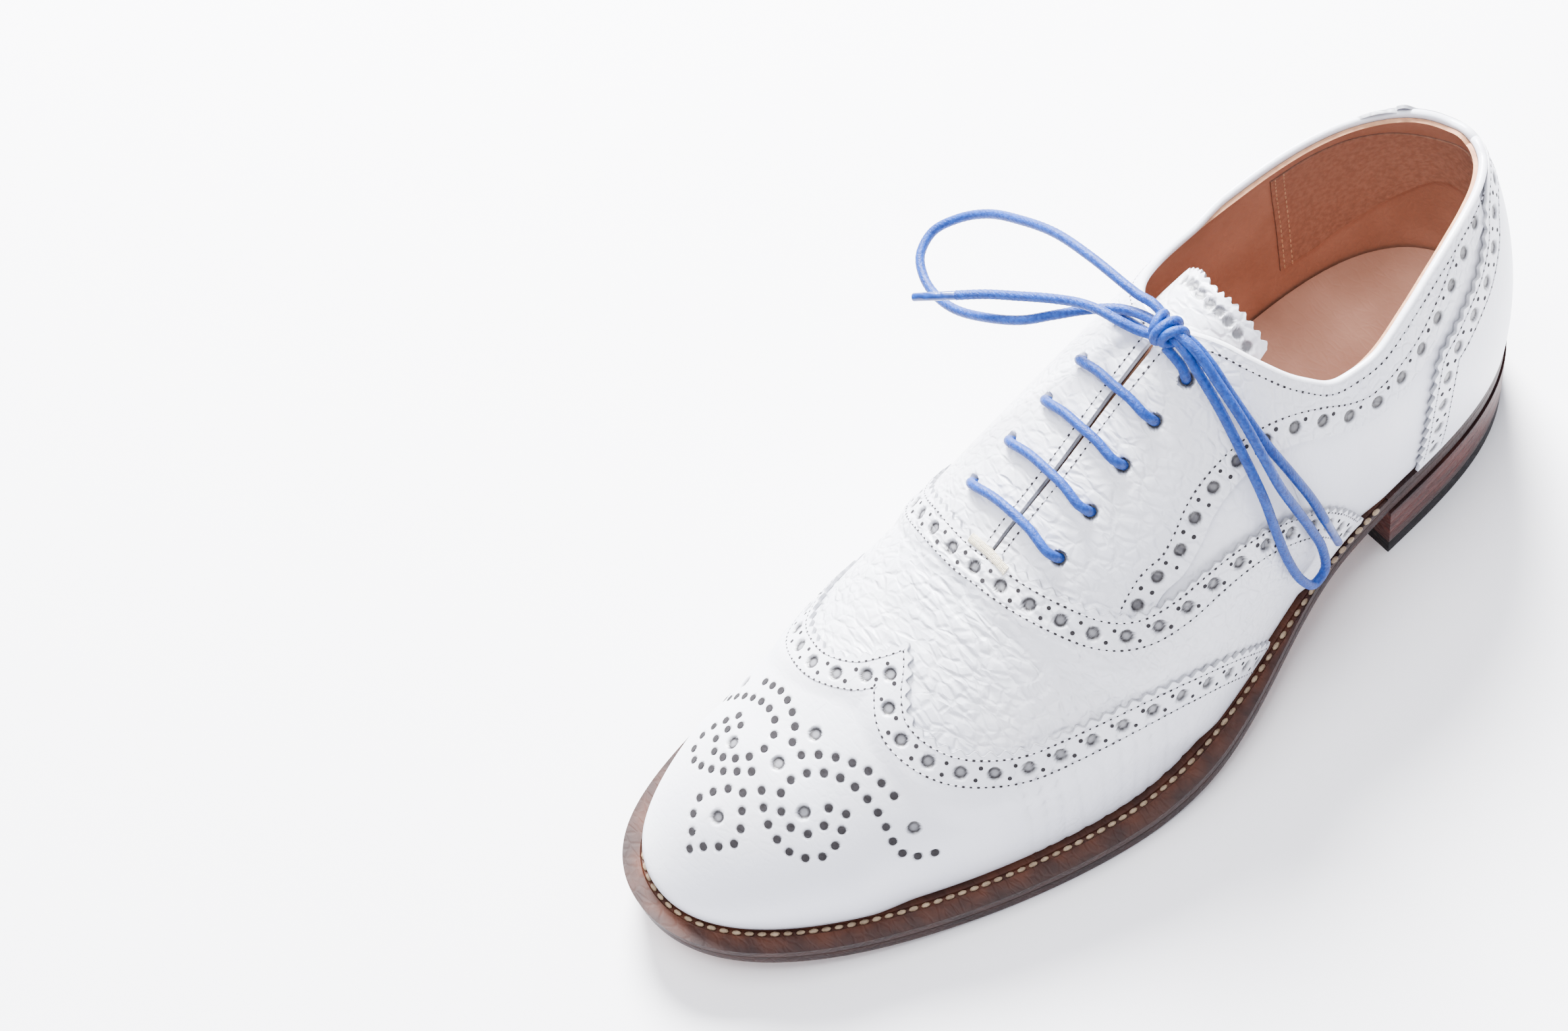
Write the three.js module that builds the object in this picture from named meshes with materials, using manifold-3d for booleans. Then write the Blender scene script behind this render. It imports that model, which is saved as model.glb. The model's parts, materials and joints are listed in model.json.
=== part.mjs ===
// A left lace-up dress shoe with a wing cap, built as its separate pieces of leather, thread,
// cord and heel lifts. Millimetres, +Z up, heel towards +Y, outer side of the foot towards +X.
import * as THREE from "three";
import { mergeVertices } from "three/addons/utils/BufferGeometryUtils.js";
import Module from "manifold-3d";

const wasm = await Module();
wasm.setup();

// ---------------------------------------------------------------- driving dimensions
const LENGTH_SCALE = 1; // stretches the last along the foot
const WIDTH_SCALE = 1; // stretches the last across the foot
const HEIGHT_SCALE = 1; // stretches the instep and the topline upwards
const GAP = 0.3; // clearance between pieces that touch
const LAYER_GAP = 0.55; // clearance between layers of leather, which follow the last in flat facets

// The last, from the toe tip round to the back of the heel, at eleven even steps.
const STATION_Y = [-142, -136, -113, -80, -45, -12, 22, 56, 90, 121, 142, 150];
const OUTER_X = [-9, 9, 26, 39.5, 50, 54, 47, 37.5, 35.5, 31, 17, -2];
const INNER_X = [-9, -26, -36.5, -42.5, -43, -37, -31, -30, -33.5, -32, -21, -2];
const OUTER_FULLNESS = [2.35, 2.35, 2.3, 2.2, 2.05, 1.9, 1.85, 1.9, 2, 1.85, 1.85, 2.3];
const INNER_FULLNESS = [2.35, 2.35, 2.3, 2.3, 2.6, 2.9, 3.1, 3.1, 3.1, 3.1, 2.9, 2.3];
const OUTER_BULGE = [1, 1.5, 2.5, 3, 3, 3, 3, 3, 2.5, 2, 1.5, 1.5];
const INNER_BULGE = [1, 1.5, 2, 2, 3, 6, 8, 7, 5, 3.5, 3, 1.5];
const HEEL_STATION = STATION_Y.length - 1;
const STATIONS = 2 * HEEL_STATION;
const RIDGE_FROM = -160; // first height of the ridge below, one every RIDGE_STEP
const RIDGE_STEP = 20;
const RIDGE_Z = [20, 29, 42, 49.5, 55, 61, 69, 79.5, 91, 102, 112, 117, 119, 119, 118, 117, 116,
  115, 115, 115];
const RIDGE_X = [-10.5, -9, -7.5, -6, -4, -2, -0.5, 0, 0, -1, -2.5, -4, -5, -5, -5, -5.5, -6,
  -6, -6, -6];
const RIDGE_REACH = 0.82; // how far the ridge follows the outline towards toe and heel

// The bottom.
const HEEL_HEIGHT = 22.6;
const TOE_SPRING = 11.5;
const TOE_SPRING_FROM = -60;
const TOE_SPRING_RUN = 90;
const ARCH_FROM = -30;
const ARCH_TO = 85;
const BREAST_Y = 78;
const SOLE_THICKNESS = 5;
const WELT_THICKNESS = 3;
const WELT_REACH = 7;
const WAIST_REACH = 1.5;
const WELT_INSET = 8;
const RAND_THICKNESS = WELT_THICKNESS;
const RAND_REACH = 1.5;
const INSOLE_THICKNESS = 2.3;
const INSOLE_INSET = 4.6;
const SOCK_THICKNESS = 0.8;
const SOCK_FROM_Y = 38;
const SHANK_WIDTH = 15;
const SHANK_THICKNESS = 2;
const SHANK_FROM_Y = 24;
const SHANK_TO_Y = 108;
const CORK_TO_Y = 18;
const TOP_PIECE_THICKNESS = 5.7;
const LIFT_COUNT = 3;
const HEEL_EDGE = 0.6; // how far the heel stands outside the upper
const NAIL_DIAMETER = 2.2;
const NAIL_CLEARANCE = 0.3;
const NAIL_LENGTH = 8.6;

const WELT_END = 7.62; // where the welt gives way to the heel rand, as an outline position
const RAND_BUTT = 0.05;
const SEAT_FROM_Y = 111;
const SHANK_LOW = SOLE_THICKNESS + GAP;
const SHANK_FRONT_X = 6;
const SHANK_BACK_X = 0;
const NAIL_PLACES = [[-20, 92], [22, 92], [-19, 118], [17, 118], [-2, 134]];
const TIP = 0.25; // plates end this far short of their outline's very tip
const TIP_LINES = [0.9, 2.4, 5];
const THREAD_DIAMETER = 1.1;
const THREAD_REACH = 1.9; // from the upper to the line of stitching on the welt
const TUBE_SIDES = 8;

// The upper, as layers below the outer face of the last shape.
const OVERLAY = 1;
const LEATHER = 1;
const STIFFENER = 0.8;
const LINING = 0.8;
const TONGUE_LEATHER = 1.2;
const LACE_DIAMETER = 2.6;
const EYELET_CLEARANCE = 2;
const EYELET_DIAMETER = LACE_DIAMETER + EYELET_CLEARANCE;
const LAP = OVERLAY + LAYER_GAP;
const CAP_LAP_MARGIN = 3.6;
const VAMP_LAP_MARGIN = 2.4;
const BORDER_STEPS = 60;
const LAP_RAMP = 2.5;
const STIFFENER_RAMP = 14; // length over which the leather rises over a stiffener
const PUFF_FROM_Y = -101;
const COUNTER_FROM_Y = 78;

// Pattern lines, drawn on the flattened last: x across and y along the foot.
const CAP_LINE = [[-33.6, 9], [-32, -8], [-31, -20], [-30, -33], [-27.5, -45], [-24.2, -54.3],
  [-20.4, -62], [-15.6, -65.5], [-11, -66.5], [-6.3, -63.9], [-3.2, -58.5], [-0.8, -53.5],
  [2.2, -56], [4.8, -60], [8.1, -62.8], [12.2, -61.8], [16.6, -58.2], [20.6, -52.4],
  [24.1, -45.4], [26.7, -37.5], [31.3, -20.6], [35.8, -2.6], [40.3, 15], [44.6, 28]];
const CAP_LAP_LINE = [[-37, -10], [-37, -28], [-35, -42], [-31, -55], [-26.5, -66], [-20, -72],
  [-12, -73.5], [-5.5, -70.5], [-1, -66.5], [3, -69], [9, -69.8], [15, -68.5], [21, -63.5],
  [26, -56], [30, -48], [33, -39], [38, -22], [43, -8], [49.5, 6]];
const VAMP_LINE = [[-30.6, 67], [-27.5, 58], [-24.5, 46], [-24, 34], [-24, 24], [-24.5, 12],
  [-24.2, 0], [-23.2, -10], [-19, -19.5], [-12, -23.3], [-4.5, -24.8], [1, -24],
  [7.5, -21.7], [14, -17.6], [20, -12], [23.6, -5], [25.2, 4], [25.6, 14], [26, 24],
  [27, 36], [29.2, 49], [32, 58], [36.2, 67]];
const OUTER_QUARTER_LAP_LINE = [[1.5, -30], [8, -28.5], [17, -24], [25, -17.5], [29.5, -9],
  [31.5, 3], [32, 16], [33, 30], [36, 46]];
const INNER_QUARTER_LAP_LINE = [[-2.5, -31], [-12, -29.5], [-21, -25], [-26.5, -15.5], [-27.8, -3],
  [-27.4, 12], [-27.4, 26], [-28.5, 40]];
const OUTER_SLIT_LINE = [[0.9, -21], [0.6, 0], [-0.6, 20], [-1.7, 38.8]];
const INNER_SLIT_LINE = [[-0.9, -21], [-1.2, 0], [-2.4, 20], [-3.5, 38]];
const OUTER_TOPLINE = [[-1.7, 38.8], [4.9, 44.9], [9.3, 48.6], [13.3, 53.3], [15.8, 58],
  [17.6, 63], [18, 69], [17.4, 78], [15.3, 89.3], [13.4, 98.3], [11.2, 108], [8.4, 118.4],
  [5.2, 126.8], [1.3, 132.5], [-3.2, 135]];
const INNER_TOPLINE = [[-3.5, 38], [-7, 38.2], [-11, 40], [-13.9, 43.9], [-16, 49.5], [-17.8, 57.4],
  [-19.6, 70.2], [-20.6, 82.6], [-20.5, 97], [-19.3, 109.9], [-16.9, 120.7], [-13.2, 128.7],
  [-8.5, 133.7], [-3.6, 135]];
const OUTER_BAND_LINE = [[24.2, 2], [24.2, 9], [22.8, 16], [21, 22.5], [20, 30], [19.7, 38],
  [20.3, 46], [21.6, 54], [23.2, 62], [23.8, 70], [23.2, 78], [22, 86], [20.5, 93], [18.5, 100],
  [15.5, 108.5], [12.2, 116.5]];
const INNER_BAND_LINE = [[-23.2, 2], [-22.8, 9], [-21.6, 16], [-20.6, 24], [-20.2, 33], [-20.6, 42],
  [-22, 52], [-23.6, 62], [-24.6, 71], [-24.8, 80], [-24.4, 89], [-23.2, 98], [-21.4, 105.5],
  [-19.4, 112], [-17, 118]];
const COUNTER_LINE = [[34.2, 88], [29, 88.3], [25.2, 90.4], [22, 94], [19.9, 101], [17.9, 107],
  [15.4, 113.5], [12, 119.5], [8.6, 123.4], [6.6, 126], [1.3, 132.5], [-3.4, 135], [-8.5, 133.7],
  [-12.6, 129.6], [-14.2, 126], [-17.6, 121.4], [-20.8, 115], [-23.2, 107], [-25, 98],
  [-27.3, 91], [-30, 88], [-32.2, 87.5]];
const OUTER_FACING_START = [[24.2, 2], [22, -5.2], [18, -10.8], [12.5, -16], [7, -19.3], [0.9, -21]];
const INNER_FACING_START = [[-23.2, 2], [-22.2, -7], [-18.2, -16], [-12, -19.8], [-5, -21.6],
  [-0.9, -21]];
const TOE_CROWDING = 0.6;
const ROW_CROWDING = 0.5;
const PUFF_REACH = 2.1;
const PUFF_LINE = [[-26, -105], [-18, -104], [-7, -103.5], [6, -104], [16, -105]];
const STIFFENER_LINE = [[33, 86], [28, 90], [23.5, 97], [20.5, 105], [17, 114], [12.5, 123],
  [7, 131], [1.5, 136], [-3, 138], [-9, 136.6], [-15, 131], [-19.6, 122], [-22.6, 111], [-25.2, 99],
  [-28, 91], [-31, 86]];
const GRIP_FOOT = [[31.8, 98.5], [28.2, 112], [22, 125], [12.5, 135.4], [-2.2, 140.8],
  [-15.5, 135.6], [-24, 125.4], [-28.8, 112], [-30.2, 98.5]];
const GRIP_LINE = [[15, 93.5], [13.6, 100], [11.7, 109], [9.3, 118.2], [6.5, 126.4],
  [2.2, 132.8], [-3.3, 136], [-9.4, 134.8], [-14.4, 129.6], [-18, 121], [-20.2, 109.9],
  [-21.4, 97], [-21.6, 91]];
const TONGUE_OUTER_LINE = [[9, -33], [13, -10], [14.5, 12], [14, 36], [11, 56]];
const TONGUE_INNER_LINE = [[-9, -33], [-14, -10], [-16.5, 12], [-17, 36], [-15.5, 54]];
const EYELETS = { outer: [[9.4, -13.2], [8.4, -1.2], [7.4, 11], [6.4, 22.7], [5.4, 34]],
  inner: [[-11.4, -14.6], [-10.8, -2.1], [-10.4, 9.6], [-10.4, 21], [-11, 32.6]] };

const COLOUR = { white: 0xe9eaf0, tan: 0xb5745a, blue: 0x3a6fc4, welt: 0x8b4a30, sole: 0x4a3038,
  heel: 0x7a4a4e, rubber: 0x2c2224, cork: 0xa9794a, steel: 0x9aa0a6, brass: 0xb08d4a,
  thread: 0xc9b79a, cream: 0xe6ddc8, board: 0xc8a078 };

// The bow: each free cord runs from inside the knot, as points chosen by hand.
const LACE_CLEARANCE = 0.6;
const LACE_STEPS = 140;
const THREAD_POINTS = 44;
const THREAD_END = 7.5;
const BAR_TACK_THICKNESS = 0.8;
const KNOT_CENTRE = [0.5, 36.8, 116];
const KNOT_RADII = [5, 5.4, 4.1];
const LOOP_INNER = [[0, 38, 116.5], [-6, 38.8, 117.4], [-12, 38, 117], [-28.5, 37.5, 116],
  [-42.5, 37, 113], [-54, 35, 109], [-65, 32, 104], [-72, 27, 100], [-75.5, 20.5, 97],
  [-73, 14, 95.5], [-67, 10.3, 95], [-59, 8.6, 96], [-51, 9, 98], [-41, 12, 102], [-32, 16.5, 106],
  [-26, 22, 109], [-20, 28, 111.6], [-14, 33.4, 113], [-8, 36, 114], [-2, 37, 115]];
const END_INNER = [[0, 34, 115.5], [-4, 31.6, 116], [-9, 29.6, 117], [-14.5, 28.2, 117.2],
  [-20, 26.6, 116], [-27, 23.6, 113.6], [-35.5, 19, 110.5], [-43.5, 14, 108], [-49.5, 9, 106.3]];
const LOOP_OUTER = [[1, 36.5, 116], [7, 36.2, 115], [12.5, 36, 110.4], [18.8, 36, 103.6],
  [27, 35.6, 93.2], [35.4, 35.2, 80.6], [40.6, 35.2, 67], [43.8, 36, 56], [46, 38.5, 45.5],
  [46.4, 42.5, 38.8], [45.8, 46.6, 40.5], [44.2, 47.3, 49], [42.4, 45, 60], [40.2, 42, 71.5],
  [37, 39.5, 82], [31.8, 38.6, 92.2], [25.2, 38.3, 101.4], [17, 38, 109.5], [10, 37.8, 115.4],
  [3, 37.2, 117.5]];
const END_OUTER = [[1.5, 38, 115], [6, 39.6, 113.6], [12, 40.3, 109.6], [18.4, 40.8, 102.4],
  [28, 42.2, 90.8], [35.2, 45.2, 79], [39.4, 48, 68.4], [42, 50, 58.5]];
const BOW_CORDS = { lace_loop_inner: LOOP_INNER, lace_end_inner: END_INNER,
  lace_loop_outer: LOOP_OUTER, lace_end_outer: END_OUTER };
const AGLET_CORDS = { aglet_inner: END_INNER, aglet_outer: END_OUTER };
const BOW_STEPS = { lace_loop_inner: 44, lace_end_inner: 16, lace_loop_outer: 42, lace_end_outer: 20 };
const AGLET_DIAMETER = 2.4;
const AGLET_LENGTH = 12;

// ---------------------------------------------------------------- the last
function blend(values, at, closed) {
  const last = values.length - 1;
  const t = closed ? at : THREE.MathUtils.clamp(at, 1, last - 1 - 1e-9);
  const i = Math.floor(t);
  const u = t - i;
  const value = (j) => values[closed ? (j + values.length * 4) % values.length : j];
  const before = (1 - u) ** 3 * value(i - 1);
  const here = (3 * u ** 3 - 6 * u ** 2 + 4) * value(i);
  const next = (-3 * u ** 3 + 3 * u ** 2 + 3 * u + 1) * value(i + 1);
  return (before + here + next + u ** 3 * value(i + 2)) / 6;
}

const around = (outer, inner) => [...outer, ...inner.slice(1, -1).reverse()];
const OUTLINE_X = around(OUTER_X, INNER_X);
const OUTLINE_Y = around(STATION_Y, STATION_Y);
const FULLNESS = around(OUTER_FULLNESS, INNER_FULLNESS);
const BULGE = around(OUTER_BULGE, INNER_BULGE);

const smooth = (from, to, x) => THREE.MathUtils.smoothstep(x, from, to);
const featherAt = (k) => new THREE.Vector2(blend(OUTLINE_X, k, true), blend(OUTLINE_Y, k, true));

function groundAt(y) {
  const spring = Math.max(0, (TOE_SPRING_FROM - y) / TOE_SPRING_RUN);
  return TOE_SPRING * spring ** 2 + HEEL_HEIGHT * smooth(ARCH_FROM, ARCH_TO, y);
}

const FEATHER_RISE = SOLE_THICKNESS + GAP + WELT_THICKNESS + GAP;
const ridgeIndex = (y) => (y - RIDGE_FROM) / RIDGE_STEP;

function ridgeAt(k) {
  const y = RIDGE_REACH * featherAt(k).y;
  return new THREE.Vector2(blend(RIDGE_X, ridgeIndex(y), false), y);
}

// A point of the outer face: k runs round the outline, q from the outline (0) to the ridge (1).
function lastPoint(k, q) {
  const feather = featherAt(k);
  const ridge = ridgeAt(k);
  const n = blend(FULLNESS, k, true);
  const angle = (Math.min(q, 1) * Math.PI) / 2;
  const cos = Math.max(Math.cos(angle), 1e-9);
  const sin = Math.max(Math.sin(angle), 1e-9);
  const radius = (cos ** n + sin ** n) ** (-1 / n);
  const out = q >= 1 ? 0 : cos * radius;
  const up = sin * radius;
  const bulge = blend(BULGE, k, true) * Math.sin(Math.PI * Math.min(up / 0.95, 1)) * out;
  const span = feather.clone().sub(ridge);
  const plan = ridge.clone().addScaledVector(span, out + bulge / span.length());
  const foot = groundAt(feather.y) + FEATHER_RISE;
  const top = blend(RIDGE_Z, ridgeIndex(plan.y), false);
  return new THREE.Vector3(plan.x, plan.y, foot + (top - foot) * up);
}

// Finds the outline position and the height of a point of the flattened last.
function unflatten(x, y) {
  const side = (k) => {
    const ridge = ridgeAt(k);
    return featherAt(k).sub(ridge).cross(new THREE.Vector2(x, y).sub(ridge));
  };
  const toe = ridgeAt(0).y;
  const heel = ridgeAt(HEEL_STATION).y;
  let outer = x > blend(RIDGE_X, ridgeIndex(y), false);
  if (y < toe) outer = side(0) > 0;
  if (y > heel) outer = side(HEEL_STATION) < 0;
  let low = outer ? 0 : HEEL_STATION;
  let high = outer ? HEEL_STATION : STATIONS;
  for (let i = 0; i < 30; i++) {
    const middle = (low + high) / 2;
    if (side(middle) > 0) low = middle;
    else high = middle;
  }
  const ridge = ridgeAt(low);
  const reach = new THREE.Vector2(x, y).distanceTo(ridge) / featherAt(low).distanceTo(ridge);
  return { k: low, q: THREE.MathUtils.clamp(1 - reach, 0, 1) };
}

// Carries a point of the unscaled last to the overall size.
function place(x, y, z) {
  const foot = groundAt(y) + FEATHER_RISE;
  const rise = z < foot ? z : foot + (z - foot) * HEIGHT_SCALE;
  return new THREE.Vector3(x * WIDTH_SCALE, y * LENGTH_SCALE, rise);
}

// The leather rises over the toe puff and the heel stiffener by their thickness.
function stiffened(y) {
  const toe = 1 - smooth(PUFF_FROM_Y, PUFF_FROM_Y + STIFFENER_RAMP, y);
  const heel = smooth(COUNTER_FROM_Y - STIFFENER_RAMP, COUNTER_FROM_Y, y);
  return (STIFFENER + LAYER_GAP) * Math.max(toe, heel);
}

// A point of the flattened last, raised above the outer face along its normal.
function skin(x, y, height) {
  const { k, q } = unflatten(x, y);
  const step = 0.02;
  const flat = Math.min(q, 0.97);
  const along = lastPoint(k + step, flat).sub(lastPoint(k - step, flat));
  const rise = lastPoint(k, Math.min(q + step, 1)).sub(lastPoint(k, Math.max(q - step, 0)));
  const normal = along.cross(rise).normalize();
  const point = lastPoint(k, q).addScaledVector(normal, height);
  return place(...point);
}

// ---------------------------------------------------------------- solids
function solidOf(geometry) {
  geometry.deleteAttribute("normal");
  geometry.deleteAttribute("uv");
  const merged = mergeVertices(geometry, 1e-4);
  const mesh = new wasm.Mesh({
    numProp: 3,
    vertProperties: merged.attributes.position.array,
    triVerts: new Uint32Array(merged.index.array),
  });
  return new wasm.Manifold(mesh);
}

function geometryOf(solid) {
  const mesh = solid.getMesh();
  const geometry = new THREE.BufferGeometry();
  geometry.setAttribute("position", new THREE.BufferAttribute(mesh.vertProperties, 3));
  geometry.setIndex(new THREE.BufferAttribute(mesh.triVerts, 1));
  return geometry;
}

// A closed slab between two grids of (columns + 1) by (rows + 1) points.
function slab(columns, rows, low, high) {
  const positions = [];
  const index = [];
  const at = (i, j, layer) => (i * (rows + 1) + j) * 2 + layer;
  for (let i = 0; i <= columns; i++)
    for (let j = 0; j <= rows; j++)
      positions.push(...low(i / columns, j / rows), ...high(i / columns, j / rows));
  const quad = (a, b, c, d) => index.push(a, b, c, a, c, d);
  for (let i = 0; i < columns; i++)
    for (let j = 0; j < rows; j++) {
      quad(at(i, j, 1), at(i + 1, j, 1), at(i + 1, j + 1, 1), at(i, j + 1, 1));
      quad(at(i, j, 0), at(i, j + 1, 0), at(i + 1, j + 1, 0), at(i + 1, j, 0));
    }
  for (let i = 0; i < columns; i++) {
    quad(at(i, 0, 0), at(i + 1, 0, 0), at(i + 1, 0, 1), at(i, 0, 1));
    quad(at(i + 1, rows, 0), at(i, rows, 0), at(i, rows, 1), at(i + 1, rows, 1));
  }
  for (let j = 0; j < rows; j++) {
    quad(at(0, j + 1, 0), at(0, j, 0), at(0, j, 1), at(0, j + 1, 1));
    quad(at(columns, j, 0), at(columns, j + 1, 0), at(columns, j + 1, 1), at(columns, j, 1));
  }
  return outward(positions, index);
}

// Welds a soup of points, drops the faces that have closed up, and turns the faces outwards.
function outward(positions, index) {
  const geometry = new THREE.BufferGeometry();
  geometry.setAttribute("position", new THREE.Float32BufferAttribute(positions, 3));
  geometry.setIndex(index);
  const merged = mergeVertices(geometry, 1e-3);
  const faces = [];
  const from = merged.index.array;
  for (let i = 0; i < from.length; i += 3) {
    const [a, b, c] = [from[i], from[i + 1], from[i + 2]];
    if (a !== b && b !== c && a !== c) faces.push(a, b, c);
  }
  const corner = [0, 1, 2].map(() => new THREE.Vector3());
  let volume = 0;
  for (let i = 0; i < faces.length; i += 3) {
    corner.forEach((v, j) => v.fromBufferAttribute(merged.attributes.position, faces[i + j]));
    volume += corner[0].dot(corner[1].cross(corner[2]));
  }
  merged.setIndex(volume < 0 ? faces.reverse() : faces);
  return merged;
}

const shoe = new THREE.Group();

function add(name, geometry, colour, roughness = 0.6, metalness = 0) {
  const material = new THREE.MeshStandardMaterial({ color: colour, roughness, metalness });
  const mesh = new THREE.Mesh(geometry, material);
  mesh.name = name;
  shoe.add(mesh);
}

// ---------------------------------------------------------------- pattern pieces
function through(points) {
  const curve = new THREE.SplineCurve(points.map((p) => new THREE.Vector2(...p)));
  return (u) => curve.getPointAt(u);
}

const straight = (a, b) => (u) => a.clone().lerp(b, u);
const featherRun = (from, to) => (u) => featherAt(from + (to - from) * u);

// Joins runs end to end, each over its own share of the way.
function chain(...runs) {
  const total = runs.reduce((sum, [share]) => sum + share, 0);
  return (u) => {
    let at = u * total;
    for (const [share, run] of runs) {
      if (at <= share + 1e-9) return run(Math.min(at / share, 1));
      at -= share;
    }
    return runs[runs.length - 1][1](1);
  };
}

// A Coons patch on the flattened last: bottom and top run along u, start and end along v.
function patch(bottom, top, start = straight(bottom(0), top(0)), end = straight(bottom(1), top(1))) {
  const corners = [bottom(0), bottom(1), top(0), top(1)];
  return (u, v) => {
    const point = bottom(u).multiplyScalar(1 - v).addScaledVector(top(u), v);
    point.addScaledVector(start(v), 1 - u).addScaledVector(end(v), u);
    point.addScaledVector(corners[0], -(1 - u) * (1 - v));
    point.addScaledVector(corners[1], -u * (1 - v));
    point.addScaledVector(corners[2], -(1 - u) * v);
    return point.addScaledVector(corners[3], -u * v);
  };
}

// A layer of leather on a patch, its outer face at the height that height(point) gives.
// Crowding draws the columns together in the middle, where the toe turns tightly, and the rows
// together at both edges, where the sides stand steep and the pieces lap.
function layer(area, columns, rows, thickness, height, crowding = 0) {
  const shift = (t) => Math.sin(2 * Math.PI * t) / (2 * Math.PI);
  const column = (u) => u + crowding * shift(u);
  const row = (v) => (crowding ? v - ROW_CROWDING * shift(v) : v);
  const face = (drop) => (u, v) => {
    const p = area(column(u), row(v));
    return skin(p.x, p.y, height(p) - drop);
  };
  return slab(columns, rows, face(thickness), face(0));
}

const base = (p) => stiffened(p.y) - LAP;
const LINING_HEIGHT = -LAP - LEATHER - LAYER_GAP;
const lining = () => LINING_HEIGHT;
const outerQuarterArea = patch(
  chain([0.36, through(OUTER_QUARTER_LAP_LINE)], [0.64, featherRun(6.7, HEEL_STATION)]),
  chain([0.36, through(OUTER_SLIT_LINE)], [0.64, through(OUTER_TOPLINE)]));
const innerQuarterArea = patch(
  chain([0.36, through(INNER_QUARTER_LAP_LINE)], [0.64, featherRun(15.47, HEEL_STATION)]),
  chain([0.36, through(INNER_SLIT_LINE)], [0.64, through(INNER_TOPLINE)]));

const vampArea = patch(
  through(CAP_LAP_LINE), through(VAMP_LINE),
  featherRun(16.95, 14.68), featherRun(5.53, 7.33));
const capArea = patch(featherRun(-5.55, 6.15), through(CAP_LINE));

// The border of a patch, as a closed run of points.
function outlineOf(area) {
  const points = [];
  for (let i = 0; i < BORDER_STEPS; i++) points.push(area(i / BORDER_STEPS, 0));
  for (let i = 0; i < BORDER_STEPS; i++) points.push(area(1, i / BORDER_STEPS));
  for (let i = BORDER_STEPS; i > 0; i--) points.push(area(i / BORDER_STEPS, 1));
  for (let i = BORDER_STEPS; i > 0; i--) points.push(area(0, i / BORDER_STEPS));
  return points;
}

// How far a point lies outside a border: 0 on the border and inside it.
function distanceOutside(border, p) {
  let inside = false;
  let nearest = Infinity;
  border.forEach((a, i) => {
    const b = border[(i + 1) % border.length];
    const span = b.clone().sub(a);
    const share = THREE.MathUtils.clamp(p.clone().sub(a).dot(span) / span.lengthSq(), 0, 1);
    nearest = Math.min(nearest, a.clone().addScaledVector(span, share).distanceTo(p));
    const crosses = a.y > p.y !== b.y > p.y;
    if (crosses && p.x < a.x + (span.x * (p.y - a.y)) / span.y) inside = !inside;
  });
  return inside ? 0 : nearest;
}

// The outer face of a piece that steps up where it laps over the pieces under it.
function lapping(margin, ...under) {
  const borders = under.map(outlineOf);
  return (p) => {
    const clear = Math.min(...borders.map((border) => distanceOutside(border, p)));
    return base(p) + LAP * (1 - smooth(margin, margin + LAP_RAMP, clear));
  };
}

const outerLining = through(OUTER_QUARTER_LAP_LINE.map(([x, y]) => [x + 1.2, y - 1.8]));
const innerLining = through(INNER_QUARTER_LAP_LINE.map(([x, y]) => [x - 1.2, y - 1.8]));
const vampLiningArea = patch(
  featherRun(-6.46, 6.62),
  chain([0.5, (u) => innerLining(1 - u)], [0.5, outerLining]));
const puffArea = patch(featherRun(-PUFF_REACH, PUFF_REACH), through(PUFF_LINE));
const stiffenerArea = patch(featherRun(7.9, 14.1), through(STIFFENER_LINE));
const gripFoot = through(GRIP_FOOT);
const gripArea = patch(gripFoot, through(GRIP_LINE));
const outerFacingArea = patch(
  through(OUTER_BAND_LINE),
  chain([0.4, through(OUTER_SLIT_LINE)], [0.6, through(OUTER_TOPLINE.slice(0, -3).concat([[6.6, 122.6]]))]),
  (v) => through(OUTER_FACING_START)(v));
const innerFacingArea = patch(
  through(INNER_BAND_LINE),
  chain([0.4, through(INNER_SLIT_LINE)], [0.6, through(INNER_TOPLINE.slice(0, -3).concat([[-15.4, 124]]))]),
  (v) => through(INNER_FACING_START)(v));
const counterArea = patch(featherRun(7.97, 14.03), through(COUNTER_LINE));

const overlay = (p) => stiffened(p.y);
const stiffening = () => LINING_HEIGHT + LAYER_GAP + STIFFENER;
const gripping = () => LINING_HEIGHT - LINING - LAYER_GAP;

// The tongue starts right under the lining and drops to leave room for the cord inside.
const TONGUE_TOP = LINING_HEIGHT - LINING - LAYER_GAP - GAP;
const CORD_ROOM = LACE_DIAMETER + GAP;
const tongueHeight = (p) => TONGUE_TOP - CORD_ROOM * smooth(-32, -22, p.y);
const tongueArea = patch(through(TONGUE_INNER_LINE), through(TONGUE_OUTER_LINE));

// ---------------------------------------------------------------- the bottom plates
const BED_STEP = 8;
const OUTLINE_STEPS = 440;
const OUTLINE = [];
for (let i = 0; i < OUTLINE_STEPS; i++) {
  const k = (i * STATIONS) / OUTLINE_STEPS;
  const along = featherAt(k + 0.01).sub(featherAt(k - 0.01)).normalize();
  OUTLINE.push({ k, point: featherAt(k), normal: new THREE.Vector2(along.y, -along.x) });
}

// The height of the sole's underside, straight between even steps so that plates nest.
function bedAt(y) {
  const i = Math.floor(y / BED_STEP);
  const share = y / BED_STEP - i;
  return groundAt(i * BED_STEP) * (1 - share) + groundAt((i + 1) * BED_STEP) * share;
}

// How far the sole's edge stands outside the upper: wide round the forefoot, narrow behind it.
function soleReach({ point }) {
  const outer = point.x > 0;
  const waist = outer ? smooth(-10, 60, point.y) : smooth(-60, 0, point.y);
  const heel = smooth(60, 110, point.y);
  const narrow = outer ? WAIST_REACH : WAIST_REACH / 2;
  return WELT_REACH + (narrow - WELT_REACH) * waist + (RAND_REACH - narrow) * heel * waist;
}

const inset = (distance) => () => -distance;
const edgeOf = (reach) =>
  OUTLINE.map((o) => o.point.clone().addScaledVector(o.normal, reach(o)));

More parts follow.
